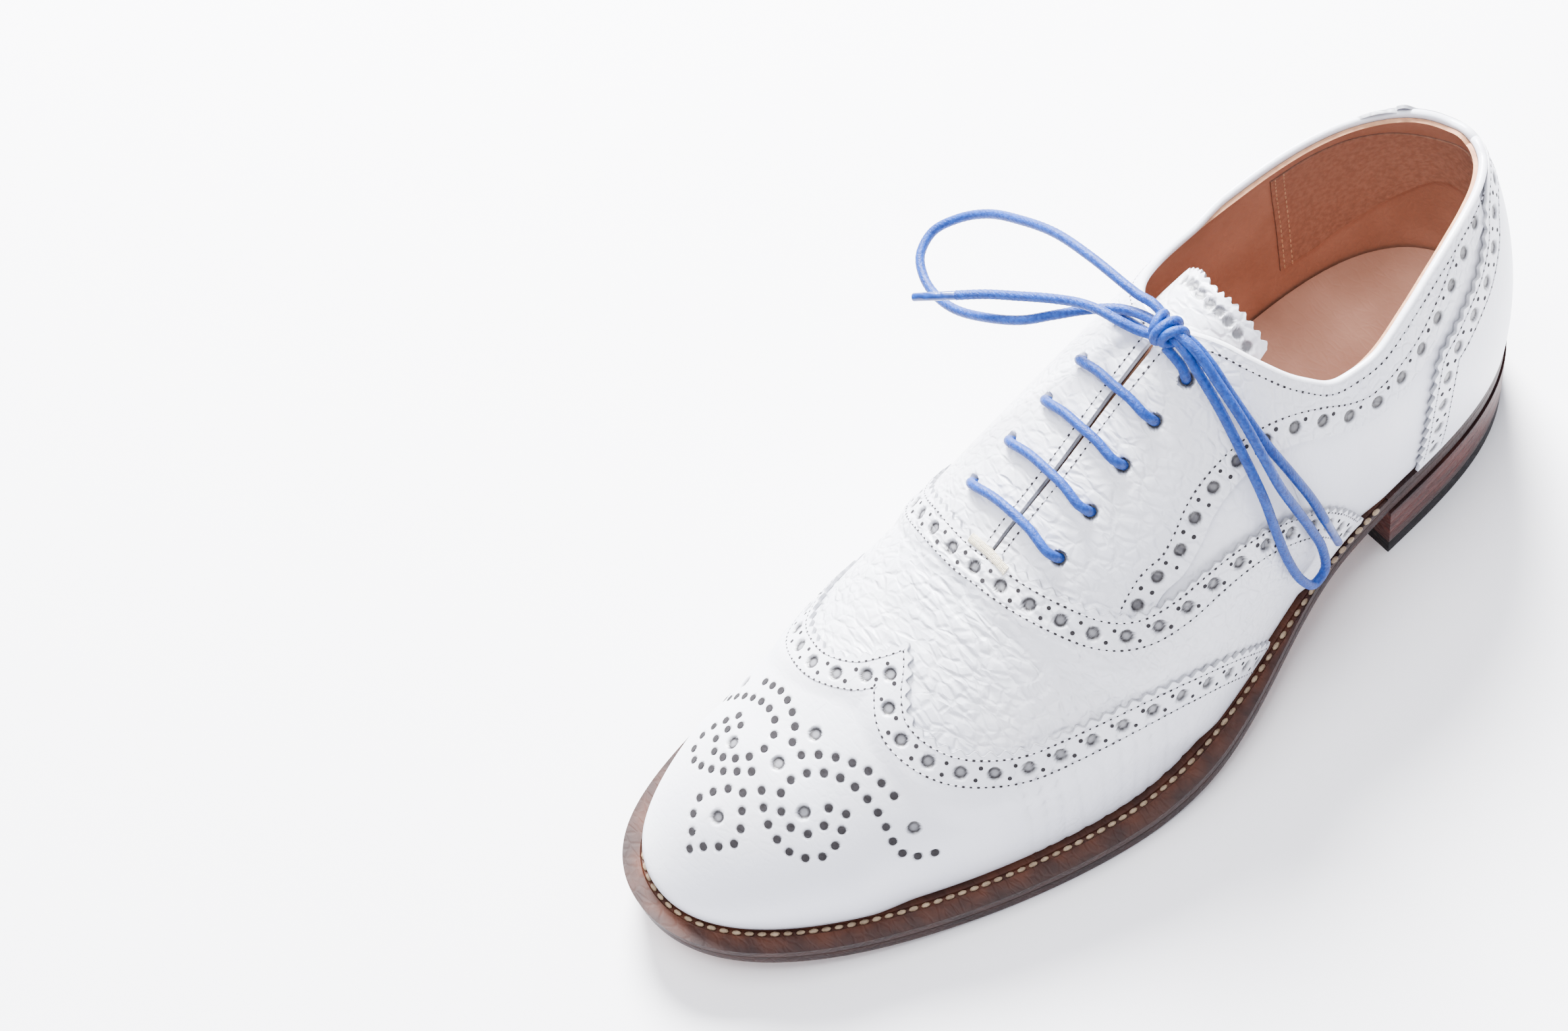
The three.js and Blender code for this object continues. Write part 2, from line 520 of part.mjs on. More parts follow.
// The two places where a cross line at y meets an edge.
function crossing(edge, y) {
  const xs = [];
  edge.forEach((a, i) => {
    const b = edge[(i + 1) % edge.length];
    if (a.y > y !== b.y > y) xs.push(a.x + ((b.x - a.x) * (y - a.y)) / (b.y - a.y));
  });
  return [Math.min(...xs), Math.max(...xs)];
}

// A plate between two heights over the bed, from one cross line to another.
function plate(reach, low, high, from = -Infinity, to = Infinity) {
  const edge = edgeOf(reach);
  const start = Math.max(from, Math.min(...edge.map((p) => p.y)) + TIP);
  const end = Math.min(to, Math.max(...edge.map((p) => p.y)) - TIP);
  const lines = [start, end];
  for (let y = Math.ceil(start / BED_STEP) * BED_STEP; y < end; y += BED_STEP) lines.push(y);
  if (from === -Infinity) TIP_LINES.forEach((step) => lines.push(start + step));
  if (to === Infinity) TIP_LINES.forEach((step) => lines.push(end - step));
  const rows = lines.sort((a, b) => a - b).filter((y, i, all) => !i || y - all[i - 1] > TIP);
  const face = (height) => (u, v) => {
    const y = rows[Math.round(u * (rows.length - 1))];
    const [inner, outer] = crossing(edge, y);
    return place(inner + (outer - inner) * v, y, height(y));
  };
  return slab(rows.length - 1, 1, face(low), face(high));
}

const overBed = (height) => (y) => bedAt(y) + height;

// A strip that follows the outline between two positions on it.
function strip(from, to, columns, reach, low, high) {
  const face = (height) => (u, v) => {
    const k = from + (to - from) * u;
    const along = featherAt(k + 0.01).sub(featherAt(k - 0.01)).normalize();
    const normal = new THREE.Vector2(along.y, -along.x);
    const point = featherAt(k);
    const out = (reach({ point }) + WELT_INSET) * v - WELT_INSET;
    const edge = point.addScaledVector(normal, out);
    return place(edge.x, edge.y, bedAt(edge.y) + height);
  };
  return slab(columns, 2, face(low), face(high));
}

const WELT_LOW = SOLE_THICKNESS + GAP;
const WELT_HIGH = WELT_LOW + WELT_THICKNESS;
const INSOLE_HIGH = FEATHER_RISE + INSOLE_THICKNESS;
const fillerReach = inset(WELT_INSET + GAP);
const insoleReach = inset(INSOLE_INSET);
const heelReach = () => RAND_REACH + HEEL_EDGE;

add("outsole", plate(soleReach, overBed(0), overBed(SOLE_THICKNESS)), COLOUR.sole, 0.5);
add("welt", strip(-WELT_END, WELT_END, 64, soleReach, WELT_LOW, WELT_HIGH), COLOUR.welt, 0.5);
add("heel_rand", strip(WELT_END + RAND_BUTT, STATIONS - WELT_END - RAND_BUTT, 30, soleReach,
  WELT_LOW, WELT_HIGH), COLOUR.sole, 0.5);
add("cork_filler", plate(fillerReach, overBed(WELT_LOW), overBed(WELT_HIGH), -Infinity, CORK_TO_Y),
  COLOUR.cork, 0.9);
add("heel_seat_board", plate(fillerReach, overBed(WELT_LOW), overBed(WELT_HIGH), SEAT_FROM_Y),
  COLOUR.board, 0.8);
add("insole", plate(insoleReach, overBed(FEATHER_RISE), overBed(INSOLE_HIGH)), COLOUR.tan, 0.7);
add("sock_lining", plate(insoleReach, overBed(INSOLE_HIGH + GAP),
  overBed(INSOLE_HIGH + GAP + SOCK_THICKNESS), SOCK_FROM_Y), COLOUR.tan, 0.6);

// The shank bridges the waist between the outsole and the insole.
function shank() {
  const columns = Math.round((SHANK_TO_Y - SHANK_FROM_Y) / BED_STEP) * 2;
  const face = (height) => (u, v) => {
    const y = SHANK_FROM_Y + (SHANK_TO_Y - SHANK_FROM_Y) * u;
    const middle = THREE.MathUtils.lerp(SHANK_FRONT_X, SHANK_BACK_X, u);
    return place(middle + (v - 0.5) * SHANK_WIDTH, y, bedAt(y) + height);
  };
  return slab(columns, 1, face(SHANK_LOW), face(SHANK_LOW + SHANK_THICKNESS));
}
add("shank", shank(), COLOUR.steel, 0.35, 1);

// ---------------------------------------------------------------- the heel
const LIFTS_FROM = TOP_PIECE_THICKNESS + GAP;
const LIFT_PITCH = (HEEL_HEIGHT - LIFTS_FROM) / LIFT_COUNT;
const nailHoles = NAIL_PLACES.map(([x, y]) => place(x, y, 0));

function nailed(geometry) {
  let solid = solidOf(geometry);
  const radius = NAIL_DIAMETER / 2 + NAIL_CLEARANCE;
  for (const at of nailHoles) {
    const hole = new THREE.CylinderGeometry(radius, radius, NAIL_LENGTH * 4, 8).rotateX(Math.PI / 2);
    solid = solid.subtract(solidOf(hole.translate(at.x, at.y, 0)));
  }
  return geometryOf(solid);
}

function heelPlate(low, high) {
  const top = (y) => Math.min(high, bedAt(y) - GAP);
  return plate(heelReach, () => low, top, BREAST_Y);
}

add("heel_top_piece", nailed(heelPlate(0, TOP_PIECE_THICKNESS)), COLOUR.rubber, 0.8);
for (let i = 0; i < LIFT_COUNT; i++) {
  const low = LIFTS_FROM + i * LIFT_PITCH;
  const lift = heelPlate(low, low + LIFT_PITCH - GAP);
  const pierced = low < NAIL_LENGTH;
  add(`heel_lift_${i + 1}`, pierced ? nailed(lift) : lift, COLOUR.heel, 0.5);
}
nailHoles.forEach((at, i) => {
  const nail = new THREE.CylinderGeometry(NAIL_DIAMETER / 2, NAIL_DIAMETER / 2, NAIL_LENGTH, 8);
  nail.rotateX(Math.PI / 2).translate(at.x, at.y, NAIL_LENGTH / 2 + GAP);
  add(`heel_nail_${i + 1}`, nail, COLOUR.brass, 0.4, 1);
});

// ---------------------------------------------------------------- cords
function tube(points, diameter, steps) {
  const path = new THREE.CatmullRomCurve3(points);
  const section = new THREE.Shape().absarc(0, 0, diameter / 2, 0, Math.PI * 2);
  return new THREE.ExtrudeGeometry(section, {
    steps, curveSegments: TUBE_SIDES / 2, bevelEnabled: false, extrudePath: path });
}

// ---------------------------------------------------------------- eyelets and the held lace
function eyeletFrame([x, y]) {
  const centre = skin(x, y, 0);
  const across = skin(x + 0.5, y, 0).sub(centre);
  const along = skin(x, y + 0.5, 0).sub(centre);
  return { centre, normal: across.cross(along).normalize(), at: [x, y] };
}

const outerEyelets = EYELETS.outer.map(eyeletFrame);
const innerEyelets = EYELETS.inner.map(eyeletFrame);
const DRILL_LENGTH = 12;

function drilled(geometry, frames) {
  let solid = solidOf(geometry);
  for (const { centre, normal } of frames) {
    const drill = new THREE.CylinderGeometry(EYELET_DIAMETER / 2, EYELET_DIAMETER / 2, DRILL_LENGTH, 8);
    const turn = new THREE.Quaternion().setFromUnitVectors(new THREE.Vector3(0, 1, 0), normal);
    drill.applyQuaternion(turn);
    drill.translate(...centre);
    solid = solid.subtract(solidOf(drill));
  }
  return geometryOf(solid);
}

const LEATHER_COLOUR = COLOUR.white;
add("wing_cap", layer(capArea, 48, 11, LEATHER, lapping(CAP_LAP_MARGIN, vampArea), TOE_CROWDING),
  LEATHER_COLOUR, 0.5);
const vampFace = lapping(VAMP_LAP_MARGIN, outerQuarterArea, innerQuarterArea);
add("vamp", layer(vampArea, 28, 9, LEATHER, vampFace), LEATHER_COLOUR, 0.5);
add("quarter_outer", drilled(layer(outerQuarterArea, 25, 8, LEATHER, base), outerEyelets), LEATHER_COLOUR);
add("quarter_inner", drilled(layer(innerQuarterArea, 25, 8, LEATHER, base), innerEyelets), LEATHER_COLOUR);
add("facing_outer", drilled(layer(outerFacingArea, 25, 6, OVERLAY, overlay), outerEyelets), LEATHER_COLOUR);
add("facing_inner", drilled(layer(innerFacingArea, 25, 6, OVERLAY, overlay), innerEyelets), LEATHER_COLOUR);
add("counter_cover", layer(counterArea, 32, 6, OVERLAY, overlay), LEATHER_COLOUR);
add("toe_puff", layer(puffArea, 26, 6, STIFFENER, stiffening), COLOUR.board);
add("heel_stiffener", layer(stiffenerArea, 28, 5, STIFFENER, stiffening), COLOUR.board);
add("vamp_lining", layer(vampLiningArea, 30, 9, LINING, lining, TOE_CROWDING), COLOUR.tan, 0.7);
add("quarter_lining_outer", drilled(layer(outerQuarterArea, 25, 8, LINING, lining), outerEyelets),
  COLOUR.tan, 0.7);
add("quarter_lining_inner", drilled(layer(innerQuarterArea, 25, 8, LINING, lining), innerEyelets),
  COLOUR.tan, 0.7);
add("heel_grip", layer(gripArea, 26, 4, LINING, gripping), COLOUR.tan, 0.9);
add("tongue", layer(tongueArea, 14, 6, TONGUE_LEATHER, tongueHeight), LEATHER_COLOUR);
add("tongue_lining", layer(tongueArea, 14, 6, LINING, (p) => tongueHeight(p) - TONGUE_LEATHER - LAYER_GAP),
  COLOUR.tan, 0.7);

// One thread runs along the welt, laid in its channel from breast to breast.
function weltThread() {
  const points = [];
  for (let i = 0; i <= THREAD_POINTS; i++) {
    const k = -THREAD_END + (2 * THREAD_END * i) / THREAD_POINTS;
    const along = featherAt(k + 0.01).sub(featherAt(k - 0.01)).normalize();
    const point = featherAt(k).addScaledVector(new THREE.Vector2(along.y, -along.x), THREAD_REACH);
    points.push(place(point.x, point.y, bedAt(point.y) + WELT_HIGH + GAP + THREAD_DIAMETER / 2));
  }
  return tube(points, THREAD_DIAMETER, 56);
}
add("welt_thread", weltThread(), COLOUR.thread, 0.8);

function barTack() {
  const face = (height) => (u, v) => skin(-4.5 + 9 * u, -25 + 1.8 * v, height);
  return slab(6, 1, face(GAP), face(GAP + BAR_TACK_THICKNESS));
}
add("bar_tack", barTack(), COLOUR.cream, 0.8);

// The lace passes an eyelet from the outside run to the inside run, or back.
const OUTSIDE = LACE_DIAMETER / 2 + LACE_CLEARANCE;
const THICKNESS = -LINING_HEIGHT + LINING;
const INSIDE = -THICKNESS - LACE_DIAMETER / 2 - LACE_CLEARANCE;

function eyeletPass(eyelet, outward, inward) {
  const raised = ([along, height], target) => {
    const way = target.clone().sub(eyelet.centre).projectOnPlane(eyelet.normal).normalize();
    return eyelet.centre.clone().addScaledVector(way, along).addScaledVector(eyelet.normal, height);
  };
  const above = [[3.4, OUTSIDE], [1.1, 0.75]].map((step) => raised(step, outward));
  const below = [[0.9, -THICKNESS - 1.1], [3.4, INSIDE]].map((step) => raised(step, inward));
  const middle = eyelet.centre.clone().addScaledVector(eyelet.normal, -THICKNESS / 2);
  return [...above, middle, ...below];
}

function between(a, b, height, shares) {
  return shares.map((t) => skin(a.at[0] + (b.at[0] - a.at[0]) * t, a.at[1] + (b.at[1] - a.at[1]) * t,
    height));
}

// Straight bars across the slit, one continuous cord: down one side, across, and down the other.
function heldLace() {
  const knot = new THREE.Vector3(...KNOT_CENTRE);
  const order = [outerEyelets[4], outerEyelets[3], innerEyelets[3], innerEyelets[2],
    outerEyelets[2], outerEyelets[1], innerEyelets[1], innerEyelets[0], outerEyelets[0],
    innerEyelets[4]];
  const points = [knot.clone().add(new THREE.Vector3(2, -2.5, -3))];
  order.forEach((eyelet, i) => {
    const before = i ? order[i - 1].centre : knot;
    const after = i < order.length - 1 ? order[i + 1].centre : knot;
    const goingIn = i % 2 === 0;
    const pass = goingIn ? eyeletPass(eyelet, before, after) : eyeletPass(eyelet, after, before).reverse();
    points.push(...pass);
    const next = order[i + 1];
    if (next && goingIn && i === order.length - 2)
      points.push(...between(eyelet, next, INSIDE, [0.2, 0.4, 0.6, 0.8]));
    if (next && !goingIn) points.push(...between(eyelet, next, OUTSIDE + 0.2, [0.3, 0.5, 0.7]));
  });
  points.push(knot.clone().add(new THREE.Vector3(-2, -2.5, -3)));
  return tube(points, LACE_DIAMETER, LACE_STEPS);
}

// ---------------------------------------------------------------- the bow
const knotShape = (grow) => {
  const [x, y, z] = KNOT_RADII.map((r) => r + grow);
  return new THREE.SphereGeometry(1, 14, 10).scale(x, y, z).translate(...KNOT_CENTRE);
};

// A cord that starts or ends in the knot stops at the knot's surface.
function fromKnot(geometry) {
  const pieces = solidOf(geometry).subtract(solidOf(knotShape(GAP))).decompose();
  pieces.sort((a, b) => b.volume() - a.volume());
  return geometryOf(pieces[0]);
}

add("bow_knot", knotShape(0), COLOUR.blue, 0.45);
add("lace", fromKnot(heldLace()), COLOUR.blue, 0.45);
for (const [name, points] of Object.entries(BOW_CORDS)) {
  const path = points.map((p) => new THREE.Vector3(...p));
  add(name, fromKnot(tube(path, LACE_DIAMETER, BOW_STEPS[name])), COLOUR.blue, 0.45);
}
for (const [name, points] of Object.entries(AGLET_CORDS)) {
  const [before, end] = points.slice(-2).map((p) => new THREE.Vector3(...p));
  const way = end.clone().sub(before).normalize();
  const aglet = new THREE.CylinderGeometry(AGLET_DIAMETER / 2, AGLET_DIAMETER / 2, AGLET_LENGTH, 10);
  aglet.applyQuaternion(new THREE.Quaternion().setFromUnitVectors(new THREE.Vector3(0, 1, 0), way));
  aglet.translate(...end.addScaledVector(way, AGLET_LENGTH / 2 + GAP));
  add(name, aglet, COLOUR.blue, 0.3);
}

// The origin lies on the ground under the middle of the shoe without its bow.
const extent = new THREE.Box3();
for (const mesh of shoe.children)
  if (!(mesh.name in BOW_CORDS || mesh.name in AGLET_CORDS)) extent.expandByObject(mesh);
const middle = extent.getCenter(new THREE.Vector3());
shoe.position.set(-middle.x, -middle.y, 0);

export default shoe;
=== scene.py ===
"""A left wing-tip shoe with closed lacing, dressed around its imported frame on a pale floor.

The upper is drawn in a flat pattern plane, in millimetres, and laid over a last; everything that
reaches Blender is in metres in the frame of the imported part.
"""

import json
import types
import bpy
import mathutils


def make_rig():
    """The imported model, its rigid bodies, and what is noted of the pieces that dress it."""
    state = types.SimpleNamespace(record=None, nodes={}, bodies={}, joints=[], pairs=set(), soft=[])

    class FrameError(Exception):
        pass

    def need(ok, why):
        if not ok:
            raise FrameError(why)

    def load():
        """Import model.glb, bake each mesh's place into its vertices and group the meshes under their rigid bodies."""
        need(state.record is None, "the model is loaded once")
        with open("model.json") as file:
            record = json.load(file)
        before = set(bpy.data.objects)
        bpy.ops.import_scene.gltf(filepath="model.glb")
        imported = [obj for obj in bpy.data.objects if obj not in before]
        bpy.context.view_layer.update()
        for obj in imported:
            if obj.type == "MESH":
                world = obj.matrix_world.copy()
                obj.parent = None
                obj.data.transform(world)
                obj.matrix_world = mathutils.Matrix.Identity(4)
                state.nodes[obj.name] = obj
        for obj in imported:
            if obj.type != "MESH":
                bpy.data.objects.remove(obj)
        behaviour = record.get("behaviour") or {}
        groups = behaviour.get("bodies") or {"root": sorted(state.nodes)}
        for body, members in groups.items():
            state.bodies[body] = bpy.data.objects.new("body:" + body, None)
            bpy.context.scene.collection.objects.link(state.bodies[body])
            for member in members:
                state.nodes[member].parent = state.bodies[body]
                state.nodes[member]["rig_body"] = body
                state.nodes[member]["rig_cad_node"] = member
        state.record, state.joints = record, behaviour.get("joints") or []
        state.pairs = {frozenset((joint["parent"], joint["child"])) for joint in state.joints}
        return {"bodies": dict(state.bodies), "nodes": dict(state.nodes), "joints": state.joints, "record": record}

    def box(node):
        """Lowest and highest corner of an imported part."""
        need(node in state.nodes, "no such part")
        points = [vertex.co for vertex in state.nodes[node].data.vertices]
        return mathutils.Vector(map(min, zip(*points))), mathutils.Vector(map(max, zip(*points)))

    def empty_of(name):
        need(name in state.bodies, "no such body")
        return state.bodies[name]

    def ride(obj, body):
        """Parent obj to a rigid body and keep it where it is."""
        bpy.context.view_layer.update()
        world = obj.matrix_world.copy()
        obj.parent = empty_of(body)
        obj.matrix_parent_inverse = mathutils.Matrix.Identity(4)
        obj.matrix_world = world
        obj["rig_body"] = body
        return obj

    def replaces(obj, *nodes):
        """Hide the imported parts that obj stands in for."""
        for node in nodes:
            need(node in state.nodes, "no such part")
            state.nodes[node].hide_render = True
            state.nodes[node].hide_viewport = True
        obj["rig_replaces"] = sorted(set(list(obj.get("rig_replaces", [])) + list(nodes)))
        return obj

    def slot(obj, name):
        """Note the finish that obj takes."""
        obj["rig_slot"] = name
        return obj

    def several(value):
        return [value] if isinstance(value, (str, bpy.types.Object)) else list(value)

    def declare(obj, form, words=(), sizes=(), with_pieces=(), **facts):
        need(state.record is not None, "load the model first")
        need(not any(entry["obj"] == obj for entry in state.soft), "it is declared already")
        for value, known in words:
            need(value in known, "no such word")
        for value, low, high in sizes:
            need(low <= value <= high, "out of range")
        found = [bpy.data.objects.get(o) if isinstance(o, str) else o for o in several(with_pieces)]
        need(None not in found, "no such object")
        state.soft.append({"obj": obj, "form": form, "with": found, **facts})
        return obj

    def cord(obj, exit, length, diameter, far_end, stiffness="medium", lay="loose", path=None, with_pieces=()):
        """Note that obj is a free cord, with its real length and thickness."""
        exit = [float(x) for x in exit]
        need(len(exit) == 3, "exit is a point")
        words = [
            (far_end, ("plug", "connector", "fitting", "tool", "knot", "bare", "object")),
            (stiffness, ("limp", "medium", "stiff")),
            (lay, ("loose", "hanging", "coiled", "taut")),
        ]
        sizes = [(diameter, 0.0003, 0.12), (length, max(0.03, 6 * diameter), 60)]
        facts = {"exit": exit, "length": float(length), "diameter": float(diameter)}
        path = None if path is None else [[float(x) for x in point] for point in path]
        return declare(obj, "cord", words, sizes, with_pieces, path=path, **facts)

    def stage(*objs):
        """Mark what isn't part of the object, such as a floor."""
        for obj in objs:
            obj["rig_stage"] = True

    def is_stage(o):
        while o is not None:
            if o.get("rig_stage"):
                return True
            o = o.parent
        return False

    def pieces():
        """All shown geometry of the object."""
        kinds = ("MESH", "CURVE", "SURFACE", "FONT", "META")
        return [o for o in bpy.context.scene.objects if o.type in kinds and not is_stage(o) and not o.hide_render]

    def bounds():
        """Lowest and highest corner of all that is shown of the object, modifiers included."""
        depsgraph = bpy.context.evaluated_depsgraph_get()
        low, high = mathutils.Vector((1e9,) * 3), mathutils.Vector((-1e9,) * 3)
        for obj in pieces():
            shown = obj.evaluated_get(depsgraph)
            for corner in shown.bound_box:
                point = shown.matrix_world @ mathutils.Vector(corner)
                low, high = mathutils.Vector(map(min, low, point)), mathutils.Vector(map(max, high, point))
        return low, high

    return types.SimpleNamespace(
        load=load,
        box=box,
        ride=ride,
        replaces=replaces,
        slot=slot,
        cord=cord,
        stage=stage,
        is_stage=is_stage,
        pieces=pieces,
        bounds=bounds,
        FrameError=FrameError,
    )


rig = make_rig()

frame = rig.load()

import json
import logging
import math
from dataclasses import dataclass, field
from enum import Enum
from typing import Callable, Sequence

import bpy
import numpy as np
from mathutils import Matrix, Vector

CAD_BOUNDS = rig.bounds()
SIZE_FILE = "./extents.json"
MM = 0.001
Array = np.ndarray
Heights = Callable[[Array], Array]
Area = Callable[[Array, Array], Array]
log = logging.getLogger("shoe")


class Slot(Enum):
    """The record's material slots that the dressed pieces use."""

    WHITE = "white_leather"
    TAN = "tan_lining"
    SUEDE = "suede_grip"
    LACE = "lace"
    WELT = "welt_leather"
    SOLE = "sole_edge"
    HEEL = "heel_leather"
    RUBBER = "heel_rubber"
    THREAD = "thread"
    TAPE = "cream_tape"


class Side(Enum):
    """The two sides of the foot."""

    OUTER = "outer"
    INNER = "inner"


# ---------------------------------------------------------------- the last
def unit(vectors: Array) -> Array:
    """The vectors, each at length 1."""
    return vectors / np.linalg.norm(vectors, axis=-1, keepdims=True)


def travelled(path: Array) -> Array:
    """How far along a path each of its points lies."""
    return np.concatenate([[0], np.cumsum(np.linalg.norm(np.diff(path, axis=0), axis=1))])


def spline(values: Array, at: Array, closed: bool) -> Array:
    """Evaluates a uniform cubic B-spline.

    Args:
        values: The control values, one at each whole number.
        at: Where to evaluate it.
        closed: Whether the values run round in a ring.

    Returns:
        The value at each place.
    """
    last = len(values) - 1
    t = at if closed else np.clip(at, 1, last - 1 - 1e-9)
    i = np.floor(t).astype(int)
    u = t - i

    def pick(j: Array) -> Array:
        """The control values numbered j."""
        return values[j % len(values)] if closed else values[np.clip(j, 0, last)]

    far = (1 - u) ** 3 * pick(i - 1) + u**3 * pick(i + 2)
    near = (3 * u**3 - 6 * u**2 + 4) * pick(i)
    return (far + near + (-3 * u**3 + 3 * u**2 + 3 * u + 1) * pick(i + 1)) / 6


def smooth(start: float, end: float, x: Array) -> Array:
    """A smooth step of x, from 0 at start to 1 at end."""
    t = np.clip((x - start) / (end - start), 0, 1)
    return t * t * (3 - 2 * t)


def ring_of(outer: Sequence[float], inner: Sequence[float]) -> Array:
    """Joins the outer side's values to the inner side's, from the toe round the heel and back."""
    return np.array([*outer, *inner[-2:0:-1]], float)


@dataclass(frozen=True)
class Last:
    """The shape under the upper, as splines round its outline, in millimetres."""

    y: tuple = (-142, -136, -113, -80, -45, -12, 22, 56, 90, 121, 142, 150)
    outer_x: tuple = (-9, 9, 26, 39.5, 50, 54, 47, 37.5, 35.5, 31, 17, -2)
    inner_x: tuple = (-9, -26, -36.5, -42.5, -43, -37, -31, -30, -33.5, -32, -21, -2)
    outer_full: tuple = (2.35, 2.35, 2.3, 2.2, 2.05, 1.9, 1.85, 1.9, 2, 1.85, 1.85, 2.3)
    inner_full: tuple = (2.35, 2.35, 2.3, 2.3, 2.6, 2.9, 3.1, 3.1, 3.1, 3.1, 2.9, 2.3)
    outer_bulge: tuple = (1, 1.5, 2.5, 3, 3, 3, 3, 3, 2.5, 2, 1.5, 1.5)
    inner_bulge: tuple = (1, 1.5, 2, 2, 3, 6, 8, 7, 5, 3.5, 3, 1.5)
    ridge_z: tuple = (20, 29, 42, 49.5, 55, 61, 69, 79.5, 91, 102, 112, 117, 119, 119, 118, 117,
                      116, 115, 115, 115)
    ridge_x: tuple = (-10.5, -9, -7.5, -6, -4, -2, -0.5, 0, 0, -1, -2.5, -4, -5, -5, -5, -5.5,
                      -6, -6, -6, -6)
    ridge_from: float = -160
    ridge_step: float = 20
    ridge_reach: float = 0.82
    heel_height: float = 22.6
    toe_spring: float = 11.5
    foot_rise: float = 8.6
    halvings: int = 26

    @property
    def heel(self) -> int:
        """The outline position of the back of the heel."""
        return len(self.y) - 1

    def feather(self, k: Array) -> Array:
        """The outline's points at positions k, as x and y."""
        rings = (ring_of(self.outer_x, self.inner_x), ring_of(self.y, self.y))
        return np.stack([spline(ring, np.asarray(k, float), True) for ring in rings], -1)

    def feather_normal(self, k: Array) -> Array:
        """The outline's outward directions at positions k."""
        along = unit(self.feather(np.asarray(k) + 0.01) - self.feather(np.asarray(k) - 0.01))
        return np.stack([along[..., 1], -along[..., 0]], -1)

    def beside(self, k: Array, reach: Array | float) -> Array:
        """Points at a distance outside the outline, as x and y."""
        return self.feather(k) + self.feather_normal(k) * np.reshape(reach, (-1, 1))

    def ground(self, y: Array) -> Array:
        """The height of the sole's underside along the foot."""
        spring = np.maximum(0, (-60 - y) / 90)
        return self.toe_spring * spring**2 + self.heel_height * smooth(-30, 85, y)

    def _ridge_at(self, y: Array) -> tuple[Array, Array]:
        """The ridge's x and height along the foot."""
        at = (y - self.ridge_from) / self.ridge_step
        return spline(np.array(self.ridge_x), at, False), spline(np.array(self.ridge_z), at, False)

    def ridge(self, k: Array) -> Array:
        """The ridge points that face outline positions k."""
        y = self.ridge_reach * self.feather(k)[..., 1]
        return np.stack([self._ridge_at(y)[0], y], -1)

    def point(self, k: Array, q: Array) -> Array:
        """Points of the outer face.

        Args:
            k: Positions round the outline.
            q: From the outline (0) to the ridge (1).

        Returns:
            The points, as x, y and z.
        """
        feather, ridge = self.feather(k), self.ridge(k)
        n = spline(ring_of(self.outer_full, self.inner_full), k, True)
        angle = np.minimum(q, 1) * math.pi / 2
        cos, sin = np.maximum(np.cos(angle), 1e-9), np.maximum(np.sin(angle), 1e-9)
        radius = (cos**n + sin**n) ** (-1 / n)
        out, up = np.where(q >= 1, 0, cos * radius), sin * radius
        bulge = spline(ring_of(self.outer_bulge, self.inner_bulge), k, True)
        bulge = bulge * np.sin(math.pi * np.minimum(up / 0.95, 1)) * out
        span = feather - ridge
        length = np.linalg.norm(span, axis=-1)
        plan = ridge + span * (out + bulge / length)[..., None]
        foot = self.ground(feather[..., 1]) + self.foot_rise
        top = self._ridge_at(plan[..., 1])[1]
        return np.concatenate([plan, (foot + (top - foot) * up)[..., None]], -1)

    def unflatten(self, xy: Array) -> tuple[Array, Array]:
        """Finds the outline position and height of points of the pattern plane.

        Args:
            xy: The points of the pattern.

        Returns:
            k and q for each point.
        """

        def side(k: Array) -> Array:
            """Above 0 where a point lies ahead of the ray from the ridge to position k."""
            ridge = self.ridge(k)
            a, b = self.feather(k) - ridge, xy - ridge
            return a[:, 0] * b[:, 1] - a[:, 1] * b[:, 0]

        toe, heel = np.zeros(len(xy)), np.full(len(xy), float(self.heel))
        outer = xy[:, 0] > self._ridge_at(xy[:, 1])[0]
        outer = np.where(xy[:, 1] < self.ridge(toe)[:, 1], side(toe) > 0, outer)
        outer = np.where(xy[:, 1] > self.ridge(heel)[:, 1], side(heel) < 0, outer)
        low = np.where(outer, 0.0, float(self.heel))
        high = low + self.heel
        for _ in range(self.halvings):
            middle = (low + high) / 2
            ahead = side(middle) > 0
            low, high = np.where(ahead, middle, low), np.where(ahead, high, middle)
        ridge = self.ridge(low)
        reach = np.linalg.norm(xy - ridge, axis=1)
        reach /= np.linalg.norm(self.feather(low) - ridge, axis=1)
        return low, np.clip(1 - reach, 0, 1)

    def skin(self, xy: Array, height: Array | float = 0.0) -> tuple[Array, Array]:
        """Lays pattern points over the last.

        Args:
            xy: The points of the pattern.
            height: How far each lies above the outer face.

        Returns:
            The points in space, and the outward normals there.
        """
        k, q = self.unflatten(xy)
        step, flat = 0.02, np.minimum(q, 0.97)
        along = self.point(k + step, flat) - self.point(k - step, flat)
        rise = self.point(k, np.minimum(q + step, 1)) - self.point(k, np.maximum(q - step, 0))
        normal = unit(np.cross(along, rise))
        lift = np.broadcast_to(height, (len(xy),))
        return self.point(k, q) + normal * lift[:, None], normal

    def step_inwards(self, xy: Array, across: Array, distance: float) -> Array:
        """Moves pattern points by a true distance on the last, square to a line.

        Args:
            xy: The points of the pattern.
            across: The pattern's direction square to the line at each point.
            distance: How far to go, in millimetres on the last.

        Returns:
            The moved points of the pattern.
        """
        probe, longest = 0.2, 2.0
        turns = max(1, math.ceil(abs(distance) / longest))
        for _ in range(turns):
            here = self.skin(xy)[0]
            gx = (self.skin(xy + [probe, 0])[0] - here) / probe
            gy = (self.skin(xy + [0, probe])[0] - here) / probe
            a, b, c = (gx * gx).sum(1), (gx * gy).sum(1), (gy * gy).sum(1)
            det = np.maximum(a * c - b * b, 1e-6)
            way = np.stack([(c * across[:, 0] - b * across[:, 1]) / det,
                            (a * across[:, 1] - b * across[:, 0]) / det], -1)
            size = np.sqrt(np.maximum((way * across).sum(1), 1e-9))
            xy = xy + way / size[:, None] * (distance / turns)
        return xy


LAST = Last()


